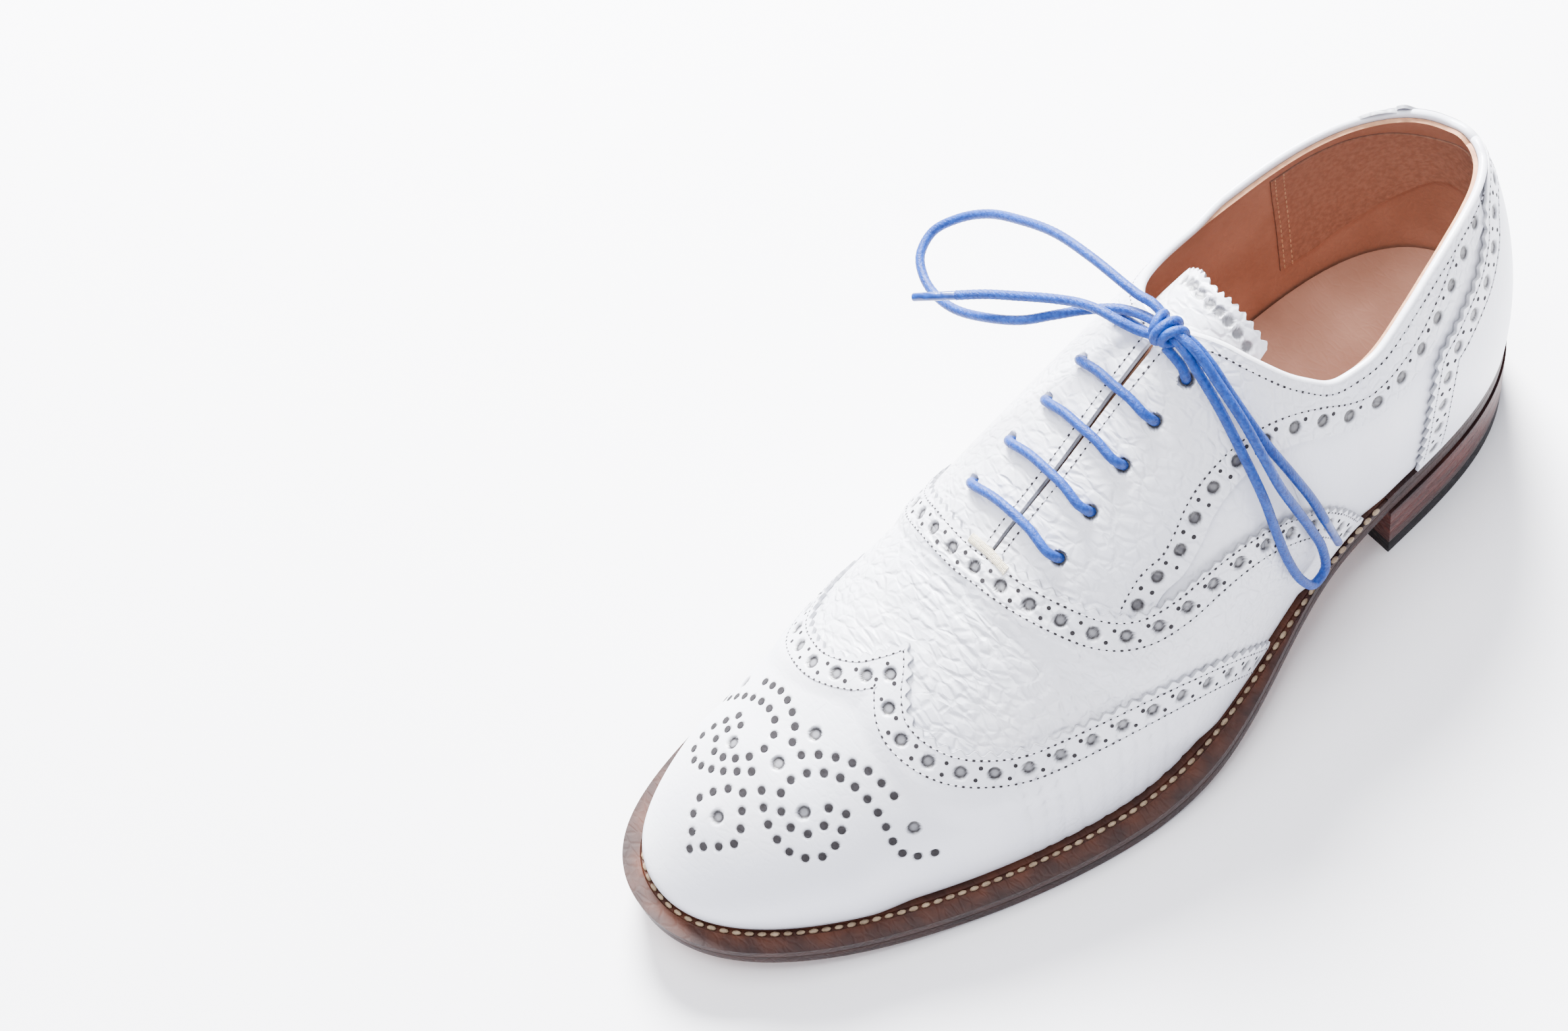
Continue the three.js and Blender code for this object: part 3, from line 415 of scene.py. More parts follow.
def to_frame(points: Array) -> Array:
    """Carries millimetres of the last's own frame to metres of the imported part's frame."""
    return np.asarray(points) * MM + SHIFT


KNOT_CENTRE = np.array([0.5, 36.8, 116.0])
SHIFT = np.mean([list(corner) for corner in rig.box("bow_knot")], axis=0) - KNOT_CENTRE * MM


# ---------------------------------------------------------------- pattern lines
@dataclass
class Line:
    """A line of the pattern, read by its share of the length.

    Attributes:
        table: Closely spaced points along it.
    """

    table: Array
    share: Array = field(init=False)

    def __post_init__(self) -> None:
        """Measures the line."""
        total = travelled(self.table)
        self.share = total / total[-1]

    def _read(self, at: Array, ruler: Array) -> Array:
        """The points at some readings of a ruler that is laid along the table."""
        return np.stack([np.interp(at, ruler, self.table[:, i]) for i in (0, 1)], -1)

    @classmethod
    def through(cls, points: Sequence[Sequence[float]], per_span: int = 60) -> "Line":
        """A Catmull-Rom line through points.

        Args:
            points: The points, as x and y.
            per_span: How many steps each span is cut into.

        Returns:
            The line.
        """
        p = np.array(points, float)
        p = np.concatenate([p[:1], p, p[-1:]])
        u = np.linspace(0, 1, per_span, endpoint=False)[:, None]
        spans = []
        for a, b, c, d in zip(p[:-3], p[1:-2], p[2:-1], p[3:]):
            v0, v1 = (c - a) / 2, (d - b) / 2
            spans.append((2 * b - 2 * c + v0 + v1) * u**3 + (-3 * b + 3 * c - 2 * v0 - v1) * u**2
                         + v0 * u + b)
        return cls(np.concatenate([*spans, p[-1:]]))

    @classmethod
    def on_feather(cls, start: float, end: float) -> "Line":
        """A stretch of the outline, shared out evenly by position.

        Args:
            start: The outline position of its start.
            end: The outline position of its end.

        Returns:
            The line.
        """
        points = 800
        line = cls(LAST.feather(np.linspace(start, end, points)))
        line.share = np.linspace(0, 1, points)
        return line

    @classmethod
    def chain(cls, *runs: tuple[float, "Line"]) -> "Line":
        """Joins lines end to end.

        Args:
            runs: Each line, after its share of the way.

        Returns:
            The joined line.
        """
        total = sum(share for share, _ in runs)
        table, share, start = [], [], 0.0
        for part, line in runs:
            table.append(line.table)
            share.append(start + line.share * part / total)
            start += part / total
        joined = cls(np.concatenate(table))
        joined.share = np.concatenate(share)
        return joined

    def __call__(self, u: Array) -> Array:
        """The points at shares u of the length."""
        return self._read(u, self.share)

    def across(self, side: float) -> Array:
        """The direction square to the line at each point of its table.

        Args:
            side: 1 or -1, for the side that it points to.

        Returns:
            The directions in the pattern.
        """
        along = np.gradient(self.table, axis=0)
        along /= np.maximum(np.linalg.norm(along, axis=1, keepdims=True), 1e-9)
        return np.stack([along[:, 1], -along[:, 0]], -1) * side

    def real(self) -> Array:
        """How far along each point of the table lies on the last, in millimetres."""
        return travelled(LAST.skin(self.table)[0])

    def thinned(self, step: float = 0.4) -> "Line":
        """The same line with its points evenly spaced on the last."""
        real = self.real()
        return Line(self._read(np.linspace(0, real[-1], max(8, int(real[-1] / step))), real))

    def inset(self, distance: float, side: float) -> "Line":
        """A parallel line, with the loops cut out that a sharp corner gives it.

        Args:
            distance: How far away it lies on the last, in millimetres.
            side: 1 or -1, for the side that it lies on.

        Returns:
            The parallel line.
        """
        base = self.thinned()
        moved = LAST.step_inwards(base.table, base.across(side), distance)
        if abs(distance) > 2:
            edge, place = LAST.skin(base.table)[0], LAST.skin(moved)[0]
            gap = np.array([np.linalg.norm(edge - p, axis=1).min() for p in place])
            moved = moved[gap > 0.93 * abs(distance)]
        return Line(moved)

    def pinked(self, pitch: float, depth: float, below: float = math.inf) -> "Line":
        """The line cut into teeth.

        Args:
            pitch: The length of a tooth on the last.
            depth: The height of a tooth.
            below: Only the stretches of the pattern below this y have teeth.

        Returns:
            The toothed line.
        """
        base = self.thinned(0.25)
        real = base.real()
        count = round(real[-1] / pitch)
        wave = np.abs((real / real[-1] * count) % 1 - 0.5) * 2 - 0.5
        wave = np.tanh(wave * 2.6) / np.tanh(1.3) * 0.5
        wave = wave * (base.table[:, 1] < below) * depth
        here = base.across(1.0)
        moved = LAST.step_inwards(base.table, here, 1.0) - base.table
        toothed = Line(base.table + moved * wave[:, None])
        toothed.share = real / real[-1]
        return toothed

    def places(self, pitch: float, start: float = 0.0, end: float = 0.0) -> tuple[Array, Array]:
        """Evenly spaced places along the line.

        Args:
            pitch: Their spacing on the last, in millimetres.
            start: What is left free at the start.
            end: What is left free at the end.

        Returns:
            The points of the pattern, and the pattern's direction along the line there.
        """
        real = self.real()
        span = real[-1] - start - end
        at = start + np.linspace(0, span, max(2, round(span / pitch) + 1))
        return self._read(at, real), self._read(at + 0.3, real) - self._read(at - 0.3, real)


def straight(a: Array, b: Array) -> Line:
    """A straight line of the pattern between two points."""
    return Line(np.array(a) + (np.array(b) - np.array(a)) * np.linspace(0, 1, 40)[:, None])


@dataclass
class Patch:
    """A Coons patch of the pattern: bottom and top run along u, start and end along v."""

    bottom: Line
    top: Line
    start: Line | None = None
    end: Line | None = None

    def __call__(self, u: Array, v: Array) -> Array:
        """The points at shares u and v.

        Args:
            u: The shares along the bottom and the top.
            v: The shares along the start and the end.

        Returns:
            The points of the pattern.
        """
        zero, one = np.zeros(1), np.ones(1)
        c00, c10 = self.bottom(zero)[0], self.bottom(one)[0]
        c01, c11 = self.top(zero)[0], self.top(one)[0]
        start, end = self.start or straight(c00, c01), self.end or straight(c10, c11)
        uu, vv = u[:, None], v[:, None]
        point = self.bottom(u) * (1 - vv) + self.top(u) * vv + start(v) * (1 - uu) + end(v) * uu
        return (point - c00 * (1 - uu) * (1 - vv) - c10 * uu * (1 - vv) - c01 * (1 - uu) * vv
                - c11 * uu * vv)

    def border(self, steps: int = 70) -> Array:
        """The patch's border as a closed run of points.

        Args:
            steps: How many points each of its four sides has.

        Returns:
            The points of the pattern.
        """
        go, zero, one = np.linspace(0, 1, steps, endpoint=False), np.zeros(steps), np.ones(steps)
        sides = [self(go, zero), self(one, go), self(1 - go, one), self(zero, 1 - go)]
        return np.concatenate(sides)


def distance_outside(border: Array, xy: Array) -> Array:
    """How far points lie outside a border.

    Args:
        border: A closed run of points.
        xy: The points of the pattern.

    Returns:
        The distances: 0 on the border and inside it.
    """
    nearest, inside = np.full(len(xy), np.inf), np.zeros(len(xy), bool)
    for a, b in zip(border, np.roll(border, -1, axis=0)):
        span = b - a
        share = np.clip(((xy - a) @ span) / max(span @ span, 1e-12), 0, 1)
        nearest = np.minimum(nearest, ((xy - a - share[:, None] * span) ** 2).sum(1))
        crosses = (a[1] > xy[:, 1]) != (b[1] > xy[:, 1])
        rise = span[1] if abs(span[1]) > 1e-12 else 1e-12
        inside ^= crosses & (xy[:, 0] < a[0] + span[0] * (xy[:, 1] - a[1]) / rise)
    return np.where(inside, 0, np.sqrt(nearest))


# ---------------------------------------------------------------- node trees
class Graph:
    """Adds and joins the nodes of one tree."""

    def __init__(self, tree: bpy.types.NodeTree) -> None:
        """Starts on a tree."""
        self.tree = tree

    def add(self, kind: str, feeds: dict | None = None, **settings: object) -> bpy.types.Node:
        """Adds a node.

        Args:
            kind: The node's type.
            feeds: Input name or number to a value, or to the socket that feeds it.
            settings: The node's own properties.

        Returns:
            The node.
        """
        node = self.tree.nodes.new(kind)
        for key, value in settings.items():
            setattr(node, key, value)
        for key, value in (feeds or {}).items():
            if isinstance(value, bpy.types.NodeSocket):
                self.tree.links.new(value, node.inputs[key])
            else:
                node.inputs[key].default_value = value
        return node

    def maths(self, operation: str, *values: object) -> bpy.types.NodeSocket:
        """The result of a Math node on numbers or sockets."""
        return self.add("ShaderNodeMath", dict(enumerate(values)), operation=operation).outputs[0]

    def mix(self, factor: object, a: object, b: object) -> bpy.types.NodeSocket:
        """Colour a with a factor of colour b mixed in, each a value or a socket."""
        feeds = {0: factor, 6: a, 7: b}
        return self.add("ShaderNodeMix", feeds, data_type="RGBA").outputs[2]

    def ramp(self, value: object, low: float, high: float) -> bpy.types.NodeSocket:
        """A smooth step of a value between low and high."""
        feeds = {"Value": value, "From Min": low, "From Max": high}
        return self.add("ShaderNodeMapRange", feeds, interpolation_type="SMOOTHSTEP").outputs[0]


Colour = tuple[float, float, float]


def opaque(colour: Colour) -> tuple[float, float, float, float]:
    """A colour with full alpha."""
    return (*colour, 1.0)


def new_group(name: str, inputs: dict[str, tuple[str, object]], outputs: dict[str, str]) -> Graph:
    """Starts a shader node group.

    Args:
        name: The group's name.
        inputs: Name to socket type and default value.
        outputs: Name to socket type.

    Returns:
        A graph of the group's tree.
    """
    tree = bpy.data.node_groups.new(name, "ShaderNodeTree")
    for label, (kind, value) in inputs.items():
        socket = tree.interface.new_socket(label, in_out="INPUT", socket_type=kind)
        socket.default_value = value
    for label, kind in outputs.items():
        tree.interface.new_socket(label, in_out="OUTPUT", socket_type=kind)
    return Graph(tree)


FLOAT = "NodeSocketFloat"


def grain_group() -> bpy.types.NodeTree:
    """The relief of tumbled leather: pebbles, long creases and fine pores, and painted shade for the creases.

    Returns:
        A group with outputs Height and Crease Shade, the mask of shade painted into the creases' bottoms.
    """
    g = new_group("LeatherGrain",
                  {"Pebble Scale": (FLOAT, 420.0), "Pebble": (FLOAT, 0.5), "Crease": (FLOAT, 0.0)},
                  {"Height": FLOAT, "Hollow": FLOAT})
    ins = g.add("NodeGroupInput")
    place = g.add("ShaderNodeTexCoord").outputs["Object"]
    bend = g.add("ShaderNodeTexNoise", {"Vector": place, "Scale": 90.0, "Detail": 2.0})
    warp = g.add("ShaderNodeVectorMath", {0: bend.outputs["Color"], 1: (0.004, 0.004, 0.004)},
                 operation="MULTIPLY")
    moved = g.add("ShaderNodeVectorMath", {0: place, 1: warp.outputs[0]}).outputs[0]
    stretch = g.add("ShaderNodeVectorMath", {0: moved, 1: (0.55, 1.0, 0.8)}, operation="MULTIPLY")
    cells = g.add("ShaderNodeTexVoronoi",
                  {"Vector": stretch.outputs[0], "Scale": ins.outputs["Pebble Scale"]},
                  feature="DISTANCE_TO_EDGE")
    pebble = g.ramp(cells.outputs["Distance"], 0.0, 0.22)
    long = g.add("ShaderNodeVectorMath", {0: moved, 1: (0.28, 1.0, 1.0)}, operation="MULTIPLY")
    fold = g.add("ShaderNodeTexVoronoi", {"Vector": long.outputs[0], "Scale": 230.0},
                 feature="DISTANCE_TO_EDGE")
    crease = g.ramp(fold.outputs["Distance"], 0.0, 0.24)
    pores = g.add("ShaderNodeTexNoise", {"Vector": place, "Scale": 1500.0, "Detail": 3.0})
    soft = g.add("ShaderNodeTexNoise", {"Vector": place, "Scale": 60.0, "Detail": 4.0})
    height = g.maths("MULTIPLY", pebble, ins.outputs["Pebble"])
    height = g.maths("ADD", height, g.maths("MULTIPLY", crease, ins.outputs["Crease"]))
    height = g.maths("ADD", height, g.maths("MULTIPLY", pores.outputs["Fac"], 0.12))
    height = g.maths("ADD", height, g.maths("MULTIPLY", soft.outputs["Fac"], 0.9))
    # painted shade, strongest in the bottoms of the creases
    crease_shade = g.maths("MULTIPLY", g.maths("SUBTRACT", 1.0, crease), ins.outputs["Crease"])
    g.add("NodeGroupOutput", {"Height": height, "Hollow": crease_shade})
    return g.tree


def mottle_group() -> bpy.types.NodeTree:
    """Uneven colour: two tones mixed by soft clouds.

    Returns:
        A group with the outputs Colour and Mask.
    """
    colour = "NodeSocketColor"
    g = new_group("Mottle",
                  {"Light": (colour, (1, 1, 1, 1)), "Dark": (colour, (0, 0, 0, 1)),
                   "Scale": (FLOAT, 50.0), "Stretch": ("NodeSocketVector", (1, 1, 1))},
                  {"Colour": colour, "Mask": FLOAT})
    ins = g.add("NodeGroupInput")
    place = g.add("ShaderNodeTexCoord").outputs["Object"]
    stretch = g.add("ShaderNodeVectorMath", {0: place, 1: ins.outputs["Stretch"]},
                    operation="MULTIPLY")
    cloud = g.add("ShaderNodeTexNoise", {"Vector": stretch.outputs[0],
                                         "Scale": ins.outputs["Scale"], "Detail": 6.0})
    mask = g.ramp(cloud.outputs["Fac"], 0.3, 0.7)
    mixed = g.mix(mask, ins.outputs["Light"], ins.outputs["Dark"])
    g.add("NodeGroupOutput", {"Colour": mixed, "Mask": mask})
    return g.tree


@dataclass(frozen=True)
class Finish:
    """A surface: two tones, a gloss and a relief.

    Attributes:
        name: The material's name.
        light: The lighter tone.
        dark: The darker tone.
        roughness: The shader's roughness.
        scale: The size of the clouds of colour: larger is finer.
        stretch: How the clouds are drawn out along X, Y and Z.
        pebble: The strength of the grain.
        pebble_scale: The fineness of the grain.
        crease: The strength of the long creases and of their painted shade, where the mesh asks for them.
        relief: The depth of the relief, in metres.
        coat: The strength of the polish.
        metallic: 1 for a metal.
        shine: The strength of the surface's own reflections.
    """

    name: str
    light: Colour
    dark: Colour
    roughness: float = 0.5
    scale: float = 50.0
    stretch: tuple[float, float, float] = (1, 1, 1)
    pebble: float = 0.3
    pebble_scale: float = 420.0
    crease: float = 0.0
    relief: float = 0.0002
    coat: float = 0.0
    metallic: float = 0.0
    shine: float = 0.5

    def material(self) -> bpy.types.Material:
        """Builds the material the first time that it is asked for.

        Returns:
            The material.
        """
        made = bpy.data.materials.get(self.name)
        if made:
            return made
        made = bpy.data.materials.new(self.name)
        made.use_nodes = True
        made.node_tree.nodes.clear()
        g = Graph(made.node_tree)
        mottle = g.add("ShaderNodeGroup",
                       {"Light": opaque(self.light), "Dark": opaque(self.dark),
                        "Scale": self.scale, "Stretch": self.stretch},
                       node_tree=shared_group("Mottle", mottle_group))
        flex = g.add("ShaderNodeAttribute", attribute_name="flex").outputs["Fac"]
        grain = g.add("ShaderNodeGroup",
                      {"Pebble Scale": self.pebble_scale, "Pebble": self.pebble,
                       "Crease": g.maths("MULTIPLY", flex, self.crease)},
                      node_tree=shared_group("LeatherGrain", grain_group))
        colour = self.tint(g, mottle.outputs["Colour"], grain.outputs["Hollow"])
        bump = g.add("ShaderNodeBump", {"Height": grain.outputs["Height"], "Strength": 1.0,
                                        "Distance": self.relief})
        shader = g.add("ShaderNodeBsdfPrincipled",
                       {"Base Color": colour, "Normal": bump.outputs[0],
                        "Roughness": self.roughness, "Metallic": self.metallic,
                        "Specular IOR Level": self.shine, "Coat Weight": self.coat,
                        "Coat Roughness": 0.25})
        g.add("ShaderNodeOutputMaterial", {"Surface": shader.outputs[0]})
        return made

    def tint(self, g: Graph, colour: bpy.types.NodeSocket,
             crease_shade: bpy.types.NodeSocket) -> bpy.types.NodeSocket:
        """Darkens by the punch mask, which holds painted shade for holes and cut edges, and paints shade into the
        bottoms of creases.

        Args:
            g: The material's graph.
            colour: The colour so far.
            crease_shade: The mask of the shade painted into the creases' bottoms.

        Returns:
            The tinted colour.
        """
        punched = g.add("ShaderNodeAttribute", attribute_name="punch").outputs["Fac"]
        # the colour of the shade painted into the creases' bottoms
        shade = tuple(c * 0.75 for c in self.light)
        colour = g.mix(g.maths("MULTIPLY", crease_shade, 0.25), colour, opaque(shade))
        # near-black where the punch mask is set: painted shade in holes and on cut edges, and the welt's darker outer
        # edge
        return g.mix(punched, colour, opaque((0.012, 0.01, 0.012)))


def shared_group(name: str, build: Callable[[], bpy.types.NodeTree]) -> bpy.types.NodeTree:
    """The node group of that name, built the first time that it is asked for."""
    return bpy.data.node_groups.get(name) or build()


@dataclass(frozen=True)
class StackedFinish(Finish):
    """Edge leather whose colour is darker towards the top and the bottom of a block.

    Attributes:
        low: The height of the block's foot, in metres.
        high: The height of its top, in metres.
        edge: The tone at the foot and the top.
    """

    low: float = 0.0
    high: float = 0.02
    edge: Colour = (0.03, 0.02, 0.025)

    def tint(self, g: Graph, colour: bpy.types.NodeSocket,
             crease_shade: bpy.types.NodeSocket) -> bpy.types.NodeSocket:
        """Adds the dark edges.

        Args:
            g: The material's graph.
            colour: The colour so far.
            crease_shade: The mask of the shade painted into the creases' bottoms, which these edges have no use for.

        Returns:
            The tinted colour.
        """
        place = g.add("ShaderNodeTexCoord").outputs["Object"]
        height = g.add("ShaderNodeSeparateXYZ", {0: place}).outputs["Z"]
        wave = g.add("ShaderNodeTexNoise", {"Vector": place, "Scale": 70.0, "Detail": 3.0})
        sway = g.maths("MULTIPLY", g.maths("SUBTRACT", wave.outputs["Fac"], 0.5), 0.006)
        height = g.maths("ADD", height, sway)
        foot = g.ramp(height, self.low + 0.008, self.low)
        top = g.ramp(height, self.high - 0.004, self.high + 0.001)
        return g.mix(g.maths("MAXIMUM", foot, top), colour, opaque(self.edge))


WHITE = Finish("white calf", (0.78, 0.79, 0.85), (0.70, 0.72, 0.80), 0.36, 24.0, pebble=0.10,
               crease=0.6, relief=0.00022, coat=0.12)
TUMBLED = Finish("white tumbled calf", (0.78, 0.79, 0.85), (0.69, 0.71, 0.79), 0.40, 30.0,
                 pebble=0.5, pebble_scale=340.0, crease=0.85, relief=0.0004, coat=0.08)
TAN = Finish("tan lining leather", (0.38, 0.185, 0.125), (0.29, 0.13, 0.082), 0.5, 40.0,
             pebble=0.15)
RAW_TAN = Finish("raw lining edge", (0.46, 0.24, 0.13), (0.34, 0.16, 0.09), 0.85, 400.0)
SUEDE = Finish("brown suede", (0.33, 0.16, 0.105), (0.26, 0.12, 0.075), 0.95, 700.0, pebble=0.1,
               relief=0.0004)
CORD = Finish("blue waxed cord", (0.004, 0.052, 0.30), (0.002, 0.025, 0.17), 0.5, 900.0,
              pebble=0.2, pebble_scale=1500.0, shine=0.3)
TIP = Finish("blue cord tip", (0.004, 0.048, 0.28), (0.002, 0.024, 0.16), 0.3, 600.0, coat=0.2)
WELT = Finish("burnished welt", (0.066, 0.021, 0.011), (0.03, 0.011, 0.008), 0.55, 120.0,
              (1, 1, 3), shine=0.15)
SOLE = StackedFinish("dark sole edge", (0.026, 0.0085, 0.0065), (0.011, 0.0045, 0.0045), 0.5, 90.0,
                     (1, 1, 5), shine=0.12, low=-0.01, high=1.0, edge=(0.01, 0.006, 0.007))
HEEL = StackedFinish("stacked heel leather", (0.072, 0.018, 0.014), (0.03, 0.009, 0.008), 0.5,
                     110.0, (1, 1, 6), shine=0.15, low=0.003, high=0.0235,
                     edge=(0.009, 0.006, 0.007))
RUBBER = Finish("heel rubber", (0.01, 0.0085, 0.01), (0.006, 0.005, 0.006), 0.7, 300.0, shine=0.15)
TREAD = Finish("tan sole leather", (0.36, 0.17, 0.08), (0.24, 0.11, 0.05), 0.55, 35.0,
               (3, 0.6, 1), pebble=0.2)
CORK = Finish("pressed cork", (0.40, 0.22, 0.10), (0.25, 0.12, 0.05), 0.9, 500.0, pebble=0.8)
BOARD = Finish("leather board", (0.55, 0.36, 0.20), (0.45, 0.28, 0.15), 0.9, 200.0)
STEEL = Finish("spring steel", (0.42, 0.43, 0.45), (0.34, 0.35, 0.37), 0.35, 200.0,
               (6, 1, 1), metallic=1.0)
BRASS = Finish("brass wire", (0.60, 0.40, 0.14), (0.45, 0.29, 0.09), 0.35, 300.0, metallic=1.0)
SEAM_THREAD = Finish("white thread", (0.66, 0.66, 0.72), (0.52, 0.52, 0.58), 0.6, 900.0)
TAN_THREAD = Finish("tan thread", (0.55, 0.33, 0.20), (0.42, 0.24, 0.14), 0.7, 900.0)
WELT_THREAD = Finish("waxed linen thread", (0.33, 0.24, 0.15), (0.19, 0.13, 0.08), 0.6, 700.0,
                     relief=0.0003)
TAPE = Finish("cream bar tack", (0.82, 0.76, 0.62), (0.70, 0.63, 0.48), 0.7, 900.0,
              pebble=0.5, pebble_scale=900.0)
# near-black discs set into the needle holes and small punched holes, as painted shade
HOLE_SHADE = Finish("needle hole", (0.022, 0.02, 0.024), (0.012, 0.01, 0.012), 1.0, 900.0)


# ---------------------------------------------------------------- meshes
def placed(name: str, data: bpy.types.ID) -> bpy.types.Object:
    """A new object, linked to the scene."""
    made = bpy.data.objects.new(name, data)
    bpy.context.scene.collection.objects.link(made)
    return made


@dataclass
class Shell:
    """Gathers grids of points into one mesh.

    Attributes:
        name: The piece's name.
    """

    name: str
    points: list[Array] = field(default_factory=list)
    faces: list[Array] = field(default_factory=list)
    values: dict[str, list[Array]] = field(default_factory=dict)
    materials: list[Array] = field(default_factory=list)
    count: int = 0

    def grid(self, points: Array, flip: bool = False, closed: bool = False, material: int = 0,
             **values: Array) -> None:
        """Adds a grid of faces.

        Args:
            points: Rows of points, in metres in the part's frame.
            flip: Turns the faces round.
            closed: Joins the last point of each row to its first.
            material: The material slot of its faces.
            values: Point attributes of the same rows and columns.
        """
        rows, columns = points.shape[:2]
        index = np.arange(rows * columns).reshape(rows, columns) + self.count
        if closed:
            index = np.concatenate([index, index[:, :1]], 1)
        quads = np.stack([index[:-1, :-1], index[1:, :-1], index[1:, 1:], index[:-1, 1:]], -1)
        quads = quads.reshape(-1, 4)
        self.faces.append(quads[:, ::-1] if flip else quads)
        self.materials.append(np.full(len(quads), material))
        self.points.append(points.reshape(-1, 3))
        # punch holds the painted shade of holes and cut edges, and the welt's darker outer edge; flex says where
        # creases and their painted shade fall
        for key in ("punch", "flex"):
            value = values.get(key, np.zeros((rows, columns)))
            self.values.setdefault(key, []).append(value.reshape(-1))
        self.count += rows * columns

    def build(self, finishes: Sequence[Finish], sharp: float = 50.0) -> bpy.types.Object:
        """Makes the object.

        Args:
            finishes: One for each material slot.
            sharp: The angle in degrees from which an edge stays sharp.

        Returns:
            The object, linked to the scene.
        """
        points = np.concatenate(self.points)
        keys, first, joined = np.unique(np.round(points / 2e-6).astype(np.int64), axis=0,
                                        return_index=True, return_inverse=True)
        faces = joined.reshape(-1)[np.concatenate(self.faces)]
        slots = np.concatenate(self.materials)
        rows = [(list(dict.fromkeys(face)), slot) for face, slot in zip(faces.tolist(), slots)]
        rows = [(face, slot) for face, slot in rows if len(face) > 2]
        mesh = bpy.data.meshes.new(self.name)
        mesh.from_pydata(points[first].tolist(), [], [face for face, _ in rows])
        mesh.validate()
        for key, parts in self.values.items():
            made = mesh.attributes.new(key, "FLOAT", "POINT")
            made.data.foreach_set("value", np.concatenate(parts)[first].astype(np.float32))
        for finish in finishes:
            mesh.materials.append(finish.material())
        if len(mesh.polygons) == len(rows):
            mesh.polygons.foreach_set("material_index", [int(slot) for _, slot in rows])
        mesh.shade_smooth()
        mesh.set_sharp_from_angle(angle=math.radians(sharp))
        log.info("%s: %d faces", self.name, len(mesh.polygons))
        return placed(self.name, mesh)


def dress(piece: bpy.types.Object, slot: Slot, *nodes: str, body: str = "shoe") -> None:
    """Hands a finished piece to the frame.

    Args:
        piece: The piece.
        slot: The record's slot that it takes its finish from.
        nodes: The CAD nodes that it stands for.
        body: The CAD body that it rides on.
    """
    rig.ride(piece, body)
    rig.slot(piece, slot.value)
    if nodes:
        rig.replaces(piece, *nodes)


class Mark(Enum):
    """What is scattered along a seam."""

    STITCH = "stitch"
    PIT = "pit"


def scatter_group(mark: Mark) -> bpy.types.NodeTree:
    """Puts one small solid on each point, turned along the seam.

    Args:
        mark: A rounded stitch, or a flat round pit that holds a hole's painted shade.

    Returns:
        The geometry node group.
    """
    tree = bpy.data.node_groups.new("Scatter " + mark.value, "GeometryNodeTree")
    face = tree.interface
    face.new_socket("Geometry", in_out="INPUT", socket_type="NodeSocketGeometry")
    for label, kind in (("Size", "NodeSocketVector"), ("Variation", "NodeSocketFloat"),
                        ("Seed", "NodeSocketInt"), ("Material", "NodeSocketMaterial")):
        face.new_socket(label, in_out="INPUT", socket_type=kind)
    face.new_socket("Geometry", in_out="OUTPUT", socket_type="NodeSocketGeometry")
    g = Graph(tree)
    ins = g.add("NodeGroupInput")
    if mark is Mark.STITCH:
        solid = g.add("GeometryNodeMeshUVSphere", {"Segments": 8, "Rings": 6, "Radius": 0.5})
    else:
        solid = g.add("GeometryNodeMeshCylinder", {"Vertices": 14, "Radius": 0.5, "Depth": 1.0})
    along = g.add("GeometryNodeInputNamedAttribute", {"Name": "along"}, data_type="FLOAT_VECTOR")
    facing = g.add("GeometryNodeInputNamedAttribute", {"Name": "facing"}, data_type="FLOAT_VECTOR")
    turn = g.add("FunctionNodeAxesToRotation", {0: along.outputs[0], 1: facing.outputs[0]},
                 primary_axis="X", secondary_axis="Z")
    low = g.maths("SUBTRACT", 1.0, ins.outputs["Variation"])
    high = g.maths("ADD", 1.0, ins.outputs["Variation"])
    chance = g.add("FunctionNodeRandomValue",
                   {"Min": low, "Max": high, "Seed": ins.outputs["Seed"]}, data_type="FLOAT")
    scale = g.add("ShaderNodeVectorMath", {0: ins.outputs["Size"], "Scale": chance.outputs[1]},
                  operation="SCALE")
    points = g.add("GeometryNodeMeshToPoints", {"Mesh": ins.outputs["Geometry"]})
    spread = g.add("GeometryNodeInstanceOnPoints",
                   {"Points": points.outputs[0], "Instance": solid.outputs["Mesh"],
                    "Rotation": turn.outputs[0], "Scale": scale.outputs[0]})
    real = g.add("GeometryNodeRealizeInstances", {0: spread.outputs[0]})
    painted = g.add("GeometryNodeSetMaterial",
                    {"Geometry": real.outputs[0], "Material": ins.outputs["Material"]})
    g.add("NodeGroupOutput", {0: painted.outputs[0]})
    return tree


